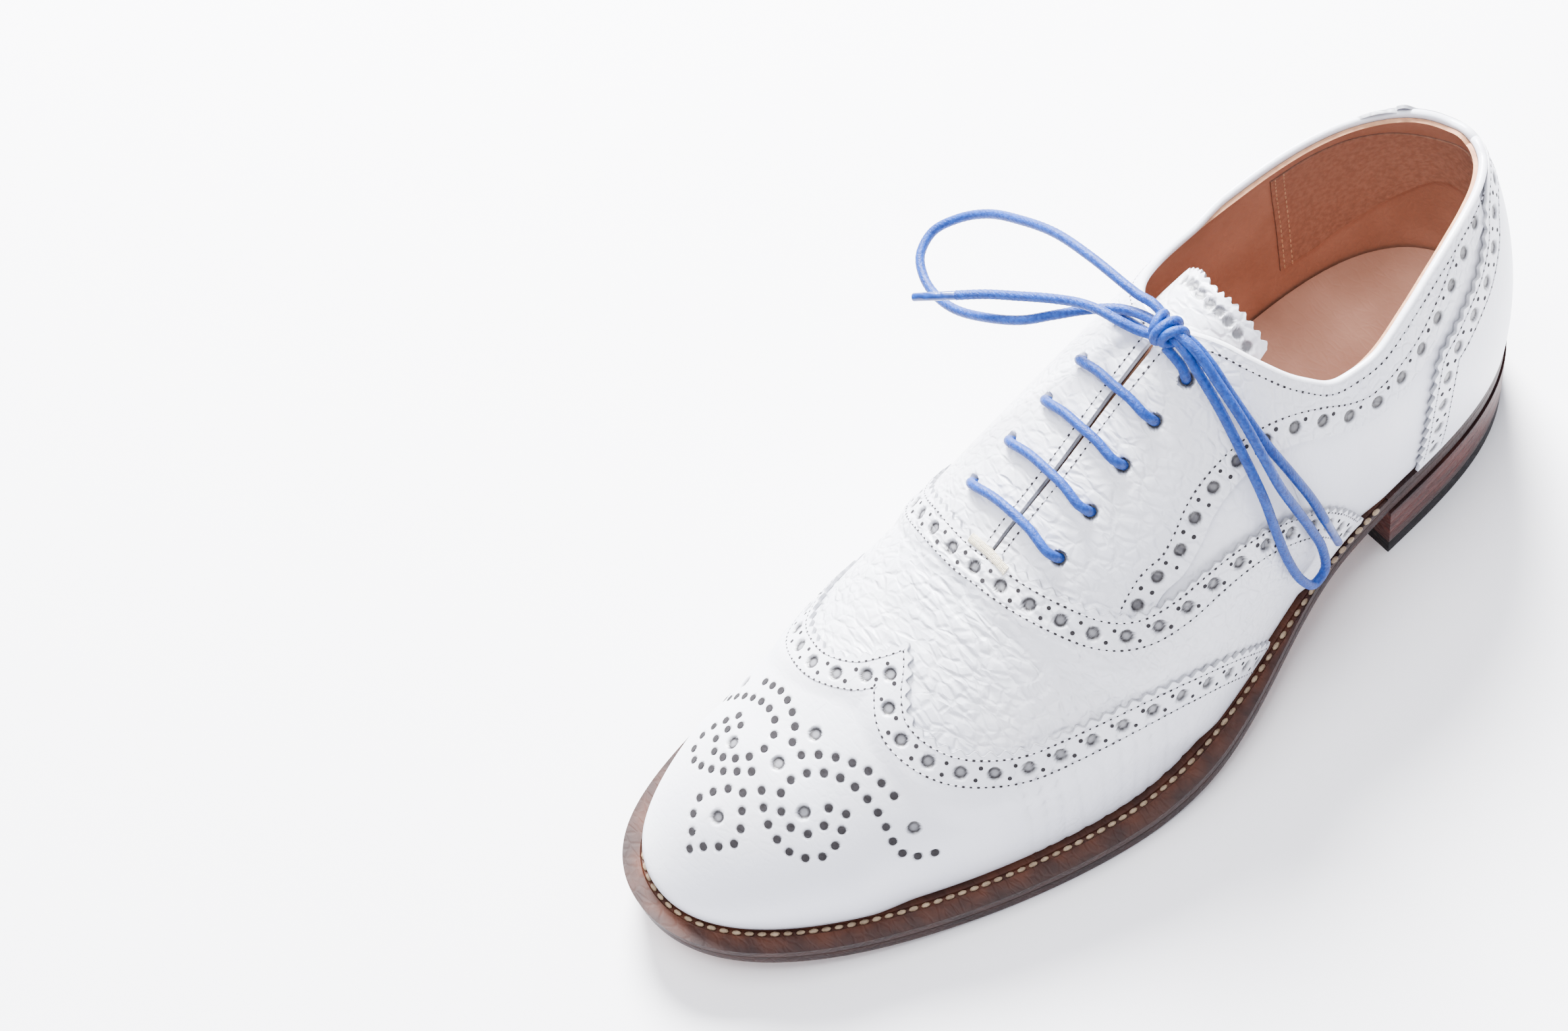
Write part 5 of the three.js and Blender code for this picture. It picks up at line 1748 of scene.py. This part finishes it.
@dataclass
class Tongue:
    """The tongue, with a pinked end and a row of holes, and its lining."""

    def build(self) -> None:
        """Makes both pieces. They ride on the tongue's body."""
        ends = Patch(Line.through(TONGUE_INNER), Line.through(TONGUE_OUTER),
                     straight(TONGUE_INNER[0], TONGUE_OUTER[0]),
                     straight(TONGUE_INNER[-1], TONGUE_OUTER[-1]).pinked(3.6, 1.3))
        row = straight((-13.6, 50.4), (9.6, 51.6))
        # the row of holes takes painted shade
        holes = Punch(row.places(5.2, 1.5, 1.5)[0], 1.5, 0.6, 0.8)
        panel = Panel("tongue_leather", ends, towards_top(90, 80, 0.75), spaced(80),
                      tongue_height, 1.1, punches=[holes], flex=lambda xy: np.full(len(xy), 0.5))
        dress(panel.build(TUMBLED), Slot.WHITE, "tongue", body="tongue")
        lining = Panel("tongue_lining_leather", ends, spaced(80), spaced(30),
                       lambda xy: tongue_height(xy) - 2.2, 0.9, facing_in=True)
        dress(lining.build(TAN, RAW_TAN), Slot.TAN, "tongue_lining", body="tongue")


@dataclass
class BarTack:
    """The closely sewn bar that stops the lacing from tearing open."""

    def build(self) -> None:
        """Makes the bar out of short threads laid side by side."""
        pack = Scatter("bar_tack_threads", Mark.STITCH, TAPE, (0.0029, 0.0006, 0.0009), 0.06, 11)
        line = straight((-4.2, -24.6), (4.2, -24.2))
        xy, way = line.places(0.42)
        across = np.stack([-way[:, 1], way[:, 0]], -1)
        pack.put_on_last(xy, across, level(0.55), 0.1)
        dress(pack.build(), Slot.TAPE, "bar_tack")


# ---------------------------------------------------------------- the bottom
Reach = Callable[[Array], Array]


def sole_reach(k: Array) -> Array:
    """How far the sole's edge stands outside the upper.

    Args:
        k: Positions round the outline.

    Returns:
        The distances, in millimetres.
    """
    x, y = LAST.feather(k).T
    outer = x > 0
    waist = np.where(outer, smooth(-10, 60, y), smooth(-60, 0, y))
    narrow = np.where(outer, 1.5, 0.75)
    return 7 + (narrow - 7) * waist + (1.5 - narrow) * smooth(60, 110, y) * waist


def inset_reach(distance: float) -> Reach:
    """An edge that lies inside the upper's outline."""
    return lambda k: np.full(len(k), -distance)


HEEL_REACH = 2.1


def heel_reach(k: Array) -> Array:
    """How far the heel's edge stands outside the upper."""
    return np.full(len(k), HEEL_REACH)


@dataclass
class Plate:
    """A flat piece of the bottom with a rounded edge.

    Attributes:
        name: The piece's name.
        reach: Its edge's distance outside the upper.
        profile: From the foot of its edge to the top: how far in, and how high.
        bed: The height that the profile stands on, along the foot.
        start: The outline position that it starts from, or None to go all round.
    """

    name: str
    reach: Reach
    profile: Sequence[tuple[float, float]]
    bed: Callable[[Array], Array]
    start: float | None = None

    def build(self, finishes: Sequence[Finish]) -> bpy.types.Object:
        """Makes the plate.

        Args:
            finishes: The finish of its edge and faces, and a second for its underside.

        Returns:
            The object.
        """
        around = 2 * LAST.heel
        whole = self.start is None
        ends = (0.0, around) if whole else (self.start, around - self.start)
        k = np.linspace(*ends, 421)
        spot, normal, reach = LAST.feather(k), LAST.feather_normal(k), self.reach(k)
        rings = []
        for inwards, height in self.profile:
            edge = spot + normal * (reach - inwards)[:, None]
            z = self.bed(edge[:, 1]) + height
            rings.append(np.concatenate([edge, z[:, None]], 1))
        shell = Shell(self.name)
        shell.grid(to_frame(np.stack(rings)), flip=False)
        half = len(k) // 2 + 1
        cross = np.linspace(0, 1, 15)[None, :, None]
        for ring, (_, height), under in ((rings[0], self.profile[0], True),
                                         (rings[-1], self.profile[-1], False)):
            near, far = ring[:half, None], ring[::-1][:half, None]
            face = near * (1 - cross) + far * cross
            face[..., 2] = self.bed(face[..., 1]) + height
            second = under and len(finishes) > 1
            shell.grid(to_frame(face), flip=under, material=int(second))
        if not whole:
            left, right = np.stack([r[0] for r in rings]), np.stack([r[-1] for r in rings])
            shell.grid(to_frame(left[:, None] * (1 - cross) + right[:, None] * cross), flip=True)
        return shell.build(finishes, 35)


def rounded(low: float, high: float, radius: float) -> list[tuple[float, float]]:
    """An edge profile with round corners.

    Args:
        low: The height of its foot.
        high: The height of its top.
        radius: The radius of its corners.

    Returns:
        Distances inwards and heights.
    """
    turns = np.linspace(0, math.pi / 2, 5)
    foot = [(radius * (1 - math.sin(t)), low + radius * (1 - math.cos(t))) for t in turns]
    top = [(radius * (1 - math.cos(t)), high - radius * (1 - math.sin(t))) for t in turns]
    return foot + top


EDGE = 100.0  # in a strip's profile: measured from the sole's edge, not from the upper


@dataclass
class Bottom:
    """The outsole, welt, rand and thread."""

    welt_end: float = 7.62
    sole: float = 5.0
    gap: float = 0.3
    welt: float = 3.0
    thread_out: float = 1.35
    thread_pitch: float = 3.4

    def _strip(self, name: str, ends: tuple[float, float], profile: Sequence[tuple[float, float]],
               finish: Finish) -> bpy.types.Object:
        """Makes a strip that runs round the upper.

        Args:
            name: The piece's name.
            ends: The outline positions of its ends.
            profile: How far out, and how high.
            finish: Its finish.

        Returns:
            The object.
        """
        k = np.linspace(*ends, 520)
        spot, normal, reach = LAST.feather(k), LAST.feather_normal(k), sole_reach(k)
        rows, shade = [], []
        for out, height in profile:
            away = np.where(out >= EDGE, reach + (out - EDGE), out)
            away = np.minimum(away, reach)
            shade.append(0.6 * (1 - smooth(0.4, 1.7, reach - away)))
            edge = spot + normal * away[:, None]
            z = LAST.ground(edge[:, 1]) + height
            rows.append(np.concatenate([edge, z[:, None]], 1))
        shell = Shell(name)
        shell.grid(to_frame(np.stack(rows)), flip=True, punch=np.stack(shade))
        return shell.build([finish], 40)

    def build(self) -> None:
        """Makes the outsole, the welt with its channel, the rand and the welt's thread."""
        outsole = Plate("outsole_leather", sole_reach, rounded(0, self.sole + 0.2, 0.9),
                        LAST.ground)
        dress(outsole.build([SOLE, TREAD]), Slot.SOLE, "outsole")
        low = self.sole + self.gap - 0.1
        high = self.sole + self.gap + self.welt
        profile = [(-6, high), (0.2, high), (0.5, high - 0.05), (0.75, high - 0.7),
                   (2.0, high - 0.7), (2.3, high - 0.02), (EDGE - 1.8, high),
                   (EDGE - 0.9, high - 0.02), (EDGE - 0.3, high - 0.2), (EDGE, high - 0.8),
                   (EDGE, low + 0.2), (EDGE - 0.3, low), (-6, low)]
        welt = self._strip("welt_leather", (-self.welt_end, self.welt_end), profile, WELT)
        dress(welt, Slot.WELT, "welt")
        around = 2 * LAST.heel
        plain = [(-6, high), (EDGE - 0.8, high), (EDGE - 0.2, high - 0.3), (EDGE, high - 0.9),
                 (EDGE, low + 0.2), (EDGE - 0.3, low), (-6, low)]
        rand = self._strip("heel_rand_leather", (self.welt_end, around - self.welt_end), plain,
                           SOLE)
        dress(rand, Slot.SOLE, "heel_rand")
        self._thread(high)

    def _thread(self, high: float) -> None:
        """Sews the welt's thread.

        Args:
            high: The height of the welt's top.
        """
        pack = Scatter("welt_thread_stitches", Mark.STITCH, WELT_THREAD,
                       (0.0027, 0.0014, 0.0011), 0.06, 13)
        k = np.linspace(-7.5, 7.5, 4000)
        real = travelled(LAST.beside(k, self.thread_out))
        at = np.interp(np.arange(0, real[-1], self.thread_pitch), real, k)
        spot = LAST.beside(at, self.thread_out)
        ahead = LAST.feather(at + 0.01) - LAST.feather(at - 0.01)
        z = LAST.ground(spot[:, 1]) + high - 0.35
        points = to_frame(np.concatenate([spot, z[:, None]], 1))
        up = np.tile([0.0, 0.0, 1.0], (len(at), 1))
        pack.put(points, np.concatenate([ahead, np.zeros((len(at), 1))], 1), up)
        dress(pack.build(), Slot.THREAD, "welt_thread")


@dataclass
class Heel:
    """The stacked heel: its lifts, top piece and nails."""

    height: float = 22.6
    top_piece: float = 5.7
    lifts: int = 3
    breast_y: float = 78.0

    def build(self) -> None:
        """Makes the lifts and the top piece."""
        k = np.linspace(6, 9, 4000)
        start = float(np.interp(self.breast_y, LAST.beside(k, HEEL_REACH)[:, 1], k))
        top = Plate("heel_top_piece_rubber", heel_reach, rounded(0, self.top_piece, 0.5),
                    np.zeros_like, start)
        dress(top.build([RUBBER]), Slot.RUBBER, "heel_top_piece")
        pitch = (self.height - self.top_piece - 0.3) / self.lifts
        for i in range(self.lifts):
            low = self.top_piece + 0.05 + i * pitch
            lift = Plate(f"heel_lift_{i + 1}_leather", heel_reach,
                         rounded(low, low + pitch - 0.04, 0.16), np.zeros_like, start)
            dress(lift.build([HEEL]), Slot.HEEL, f"heel_lift_{i + 1}")


@dataclass
class Insides:
    """The heel sock and the vamp's lining, which show through the mouth."""

    def build(self) -> None:
        """Makes the sock and finishes the CAD pieces that stay as they are."""
        sock = Plate("heel_sock_leather", inset_reach(4.4), [(0.3, 11.3), (0, 11.5), (0.3, 11.9)],
                     LAST.ground, 6.5)
        dress(sock.build([TAN]), Slot.TAN, "sock_lining")
        kept = {"cork_filler": CORK, "heel_seat_board": BOARD, "toe_puff": BOARD,
                "heel_stiffener": BOARD, "shank": STEEL, "insole": TAN, "vamp_lining": TAN}
        kept.update({f"heel_nail_{i}": BRASS for i in range(1, 6)})
        for name, finish in kept.items():
            node = frame["nodes"][name]
            node.data.materials.clear()
            node.data.materials.append(finish.material())
            log.info("%s keeps its CAD solid", name)


# ---------------------------------------------------------------- the lacing
LACE_DIAMETER = 0.0026
LOOP_INNER = (
    (0, 38, 116.5), (-6, 38.8, 117.4), (-12, 38, 117),
    (-28.5, 37.5, 116), (-42.5, 37, 113), (-54, 35, 109),
    (-65, 32, 104), (-72, 27, 100), (-75.5, 20.5, 97),
    (-73, 14, 95.5), (-67, 10.3, 95), (-59, 8.6, 96),
    (-51, 9, 98), (-41, 12, 102), (-32, 16.5, 106),
    (-26, 22, 109), (-20, 28, 111.6), (-14, 33.4, 113),
    (-8, 36, 114), (-2, 37, 115))
END_INNER = (
    (0, 34, 115.5), (-4, 31.6, 116), (-9, 29.6, 117),
    (-14.5, 28.2, 117.2), (-20, 26.6, 116), (-27, 23.6, 113.6),
    (-35.5, 19, 110.5), (-43.5, 14, 108), (-49.5, 9, 106.3))
LOOP_OUTER = (
    (1, 36.5, 116), (7, 36.2, 115), (12.5, 36, 110.4),
    (18.8, 36, 103.6), (27, 35.6, 93.2), (35.4, 35.2, 80.6),
    (40.6, 35.2, 67), (43.8, 36, 56), (46, 38.5, 45.5),
    (46.4, 42.5, 38.8), (45.8, 46.6, 40.5), (44.2, 47.3, 49),
    (42.4, 45, 60), (40.2, 42, 71.5), (37, 39.5, 82),
    (31.8, 38.6, 92.2), (25.2, 38.3, 101.4), (17, 38, 109.5),
    (10, 37.8, 115.4), (3, 37.2, 117.5))
END_OUTER = (
    (1.5, 38, 115), (6, 39.6, 113.6), (12, 40.3, 109.6),
    (18.4, 40.8, 102.4), (28, 42.2, 90.8), (35.2, 45.2, 79),
    (39.4, 48, 68.4), (42, 50, 58.5))


def smooth_path(points: Array, step: float, closed: bool = False) -> Array:
    """A centripetal Catmull-Rom path through points, evenly spaced.

    Args:
        points: The points, in metres.
        step: The spacing of the result.
        closed: Whether the path joins up.

    Returns:
        The path's points.
    """
    if closed:
        ends = np.concatenate([points[-1:], points, points[:2]])
    else:
        before, after = 2 * points[:1] - points[1:2], 2 * points[-1:] - points[-2:-1]
        ends = np.concatenate([before, points, after])
    fine = []
    for p in zip(ends[:-3], ends[1:-2], ends[2:-1], ends[3:]):
        t = np.concatenate([[0], np.cumsum([np.linalg.norm(b - a) ** 0.5 for a, b in
                                            zip(p[:-1], p[1:])])])
        u = np.linspace(t[1], t[2], 24, endpoint=False)[:, None]
        level_one = [((t[i + 1] - u) * p[i] + (u - t[i]) * p[i + 1]) / (t[i + 1] - t[i])
                     for i in range(3)]
        level_two = [((t[i + 2] - u) * level_one[i] + (u - t[i]) * level_one[i + 1])
                     / (t[i + 2] - t[i]) for i in range(2)]
        fine.append(((t[2] - u) * level_two[0] + (u - t[1]) * level_two[1]) / (t[2] - t[1]))
    fine = np.concatenate([*fine, points[:1] if closed else points[-1:]])
    real = travelled(fine)
    at = np.linspace(0, real[-1], max(4, round(real[-1] / step)) + 1)
    return np.stack([np.interp(at, real, fine[:, i]) for i in range(3)], -1)


@dataclass
class Braid:
    """A round braided cord along a path, with its strands in real relief.

    Attributes:
        name: The piece's name.
        points: The points of its path, in metres in the part's frame.
        diameter: Its diameter.
        closed: Whether it is a ring.
        strands: How many strands show round it.
        pitch: The length of one weave.
    """

    name: str
    points: Array
    diameter: float = LACE_DIAMETER
    closed: bool = False
    strands: int = 8
    pitch: float = 0.0016
    path: Array = field(init=False)

    def __post_init__(self) -> None:
        """Runs the path through the points."""
        self.path = smooth_path(self.points, 0.0004, self.closed)

    def build(self) -> bpy.types.Object:
        """Makes the cord.

        Returns:
            The object.
        """
        path, sides, relief = self.path, 32, 0.00003
        along = np.gradient(path, axis=0)
        if self.closed:
            along[0] = along[-1] = path[1] - path[-2]
        along /= np.linalg.norm(along, axis=1, keepdims=True)
        side = np.cross(along[0], [0.3, 0.2, 1.0])
        frames = []
        for way in along:
            side = side - way * (side @ way)
            side = side / np.linalg.norm(side)
            frames.append(side)
        right = np.array(frames)
        up = np.cross(along, right)
        turn = np.linspace(0, 2 * math.pi, sides, endpoint=False)
        walk = np.arange(len(path)) * np.linalg.norm(np.diff(path, axis=0), axis=1).mean()
        weave = np.cos(2 * math.pi * walk / self.pitch)[:, None] * np.cos(self.strands * turn)
        radius = self.diameter / 2 - relief + 2 * relief * weave
        ring = right[:, None] * np.cos(turn)[:, None] + up[:, None] * np.sin(turn)[:, None]
        shell = Shell(self.name)
        shell.grid(path[:, None] + ring * radius[..., None], closed=True)
        for end, flip in ((0, True), (-1, False)):
            if not self.closed:
                rim = path[end] + ring[end] * radius[end][:, None]
                hub = np.repeat(path[end][None], sides, 0)
                shell.grid(np.stack([rim, hub]), closed=True, flip=flip)
        return shell.build([CORD], 60)


@dataclass
class CordTip:
    """The waxed tip on the end of a lace."""

    name: str
    end: Array
    way: Array
    diameter: float = 0.0024
    length: float = 0.012

    def build(self) -> bpy.types.Object:
        """Makes the tip with its rounded ends.

        Returns:
            The object.
        """
        way = self.way / np.linalg.norm(self.way)
        side = np.cross(way, [0.0, 0.0, 1.0])
        side /= np.linalg.norm(side)
        up = np.cross(way, side)
        turn = np.linspace(0, 2 * math.pi, 24, endpoint=False)
        ring = side * np.cos(turn)[:, None] + up * np.sin(turn)[:, None]
        half = self.diameter / 2
        rows = []
        for at, size in ((0, 0), (0, 0.92), (0.0003, 1), (self.length / 2, 0.98),
                         (self.length - 0.0003, 0.95), (self.length, 0.8), (self.length, 0)):
            rows.append(self.end + way * at + ring * half * size)
        shell = Shell(self.name)
        shell.grid(np.stack(rows), closed=True)
        return shell.build([TIP], 40)


@dataclass
class Lacing:
    """The held lace, the bow's knot, its loops and its ends."""

    clearance: float = 0.6
    thickness: float = 3.9
    start: tuple[float, float, float] = (2, -2.5, -3)
    finish: tuple[float, float, float] = (-2, -2.5, -3)

    def _pass(self, spot: Array, normal: Array, outward: Array, inward: Array) -> list[Array]:
        """The lace's way through one hole, from outside to inside.

        Args:
            spot: The hole's centre on the outer face.
            normal: The direction out of the shoe there.
            outward: Where the lace comes from, outside.
            inward: Where it goes to, inside.

        Returns:
            Five points.
        """
        half = LACE_DIAMETER / MM / 2
        steps = []
        for target, along, height in ((outward, 3.4, half + self.clearance), (outward, 1.1, 0.75),
                                      (inward, 0.9, -self.thickness - 1.1),
                                      (inward, 3.4, -self.thickness - half - self.clearance)):
            way = target - spot
            way = way - normal * (way @ normal)
            way = way / np.linalg.norm(way)
            steps.append(spot + way * along + normal * height)
        return [*steps[:2], spot - normal * self.thickness / 2, *steps[2:]]

    def _route(self) -> Array:
        """The held lace's way through the ten holes, with straight bars outside.

        Returns:
            The points, in metres in the part's frame.
        """
        places = {side: np.array(EYELETS[side], float) for side in Side}
        spots = {side: LAST.skin(places[side]) for side in Side}
        order = [(Side.OUTER, 4), (Side.OUTER, 3), (Side.INNER, 3), (Side.INNER, 2),
                 (Side.OUTER, 2), (Side.OUTER, 1), (Side.INNER, 1), (Side.INNER, 0),
                 (Side.OUTER, 0), (Side.INNER, 4)]
        half = LACE_DIAMETER / MM / 2
        points = [KNOT_CENTRE + self.start]
        for i, (side, row) in enumerate(order):
            spot, normal = spots[side][0][row], spots[side][1][row]
            before = spots[order[i - 1][0]][0][order[i - 1][1]] if i else KNOT_CENTRE
            after = KNOT_CENTRE
            if i + 1 < len(order):
                after = spots[order[i + 1][0]][0][order[i + 1][1]]
            inwards = i % 2 == 0
            steps = self._pass(spot, normal, *((before, after) if inwards else (after, before)))
            points.extend(steps if inwards else steps[::-1])
            if i + 1 == len(order):
                break
            if inwards and i != len(order) - 2:
                continue
            a, b = places[side][row], places[order[i + 1][0]][order[i + 1][1]]
            if inwards:
                shares, height = (0.2, 0.4, 0.6, 0.8), -self.thickness - half - self.clearance
            else:
                shares, height = (0.3, 0.5, 0.7), half + self.clearance + 0.2
            spread = np.array([a + (b - a) * share for share in shares])
            points.extend(LAST.skin(spread, height)[0])
        points.append(KNOT_CENTRE + self.finish)
        return to_frame(np.array(points))

    def _knot(self) -> list[bpy.types.Object]:
        """The knot: three turns of cord round the crossing.

        Returns:
            The objects, the middle turn first.
        """
        rings = []
        for i, (shift, size, tilt) in enumerate(((0.2, 3.3, 0.1), (-2.5, 2.7, -0.35),
                                                 (2.7, 2.7, 0.4))):
            turn = np.linspace(0, 2 * math.pi, 14, endpoint=False)
            y, z = 1.12 * size * np.cos(turn), 0.86 * size * np.sin(turn)
            x = shift + y * math.sin(tilt)
            ring = np.stack([x, y * math.cos(tilt) - 0.4, z], -1) + KNOT_CENTRE
            rings.append(Braid(f"knot_turn_{i + 1}", to_frame(ring), closed=True).build())
        return rings

    def build(self) -> None:
        dress(Braid("lace_through_holes", self._route()).build(), Slot.LACE, "lace")
        turns = self._knot()
        dress(turns[0], Slot.LACE, "bow_knot")
        for turn in turns[1:]:
            dress(turn, Slot.LACE)
        for name, points, length in (("lace_loop_inner", LOOP_INNER, 0.177),
                                     ("lace_loop_outer", LOOP_OUTER, 0.195)):
            cord = Braid(name + "_cord", to_frame(points))
            piece = cord.build()
            dress(piece, Slot.LACE, name)
            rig.cord(piece, exit=cord.path[0], length=length, diameter=LACE_DIAMETER,
                    far_end="object", stiffness="medium", lay="loose", path=cord.path)
        for side, points, length in (("inner", END_INNER, 0.0576), ("outer", END_OUTER, 0.0734)):
            cord = Braid(f"lace_end_{side}_cord", to_frame(points))
            piece = cord.build()
            dress(piece, Slot.LACE, f"lace_end_{side}")
            tip = CordTip(f"lace_tip_{side}", cord.path[-1] + 0.0, cord.path[-1] - cord.path[-4])
            end = tip.build()
            dress(end, Slot.LACE, f"aglet_{side}")
            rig.cord(piece, exit=cord.path[0], length=length, diameter=LACE_DIAMETER,
                    far_end="fitting", stiffness="medium", lay="loose", path=cord.path,
                    with_pieces=[end])


# ---------------------------------------------------------------- the studio
@dataclass
class Studio:
    """The floor, the lights and the camera."""

    eye: tuple[float, float, float] = (0.256388, -0.156359, 0.601305)
    right: tuple[float, float, float] = (0.58670, 0.78759, -0.18835)
    up: tuple[float, float, float] = (-0.6433, 0.5946, 0.4823)
    lens: float = 53.89

    def camera(self) -> None:
        """Sets the camera."""
        data = bpy.data.cameras.new("camera")
        data.lens, data.sensor_width = self.lens, 36.0
        data.clip_start = 0.01
        made = placed("camera", data)
        right, up = Vector(self.right).normalized(), Vector(self.up).normalized()
        back = right.cross(up).normalized()
        turn = Matrix((right, back.cross(right), back)).transposed().to_4x4()
        made.matrix_world = Matrix.Translation(Vector(self.eye) + Vector(SHIFT)) @ turn
        bpy.context.scene.camera = made

    def floor(self) -> None:
        """Lays the pale floor."""
        mesh = bpy.data.meshes.new("floor")
        size = 6.0
        mesh.from_pydata([(-size, -size, 0), (size, -size, 0), (size, size, 0), (-size, size, 0)],
                         [], [(0, 1, 2, 3)])
        paper = Finish("white paper", (0.90, 0.90, 0.93), (0.885, 0.885, 0.92), 0.8, 6.0,
                       pebble=0.0, relief=0.00001)
        mesh.materials.append(paper.material())
        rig.stage(placed("floor", mesh))

    def lights(self) -> None:
        """Sets the soft lights and the pale surroundings."""
        world = bpy.data.worlds.new("studio")
        world.use_nodes = True
        back = world.node_tree.nodes["Background"]
        back.inputs["Color"].default_value = (0.88, 0.88, 1.0, 1)
        back.inputs["Strength"].default_value = 0.8
        bpy.context.scene.world = world
        for name, place, size, power in (("key", (-0.85, 0.5, 0.95), 0.6, 185.0),
                                         ("fill", (0.9, -0.9, 1.3), 1.6, 12.0),
                                         ("top", (-0.2, -0.2, 1.9), 1.2, 60.0)):
            data = bpy.data.lights.new(name, "AREA")
            data.shape, data.size, data.energy = "DISK", size, power
            light = placed(name, data)
            light.location = place
            aim = Vector((0, 0, 0.04)) - Vector(place)
            light.rotation_euler = aim.to_track_quat("-Z", "Y").to_euler()
            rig.stage(light)

    def build(self) -> None:
        """Sets up everything that isn't the shoe."""
        self.camera()
        self.floor()
        self.lights()


def main() -> None:
    """Builds the studio, the lacing, the upper and the bottom, and writes the sizes."""
    logging.basicConfig(level=logging.INFO, format="%(name)s: %(message)s")
    Studio().build()
    Lacing().build()
    seams = Seams()
    WingCap(seams).build()
    Vamp(seams).build()
    for side in Side:
        Quarter(side, seams).build()
    Counter(seams).build()
    seams.build()
    Tongue().build()
    BarTack().build()
    Bottom().build()
    Heel().build()
    Insides().build()
    sizes = {"cad": [list(corner) for corner in CAD_BOUNDS],
             "visual": [list(corner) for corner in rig.bounds()]}
    with open(SIZE_FILE, "w") as file:
        json.dump(sizes, file)


if __name__ == "__main__":
    main()
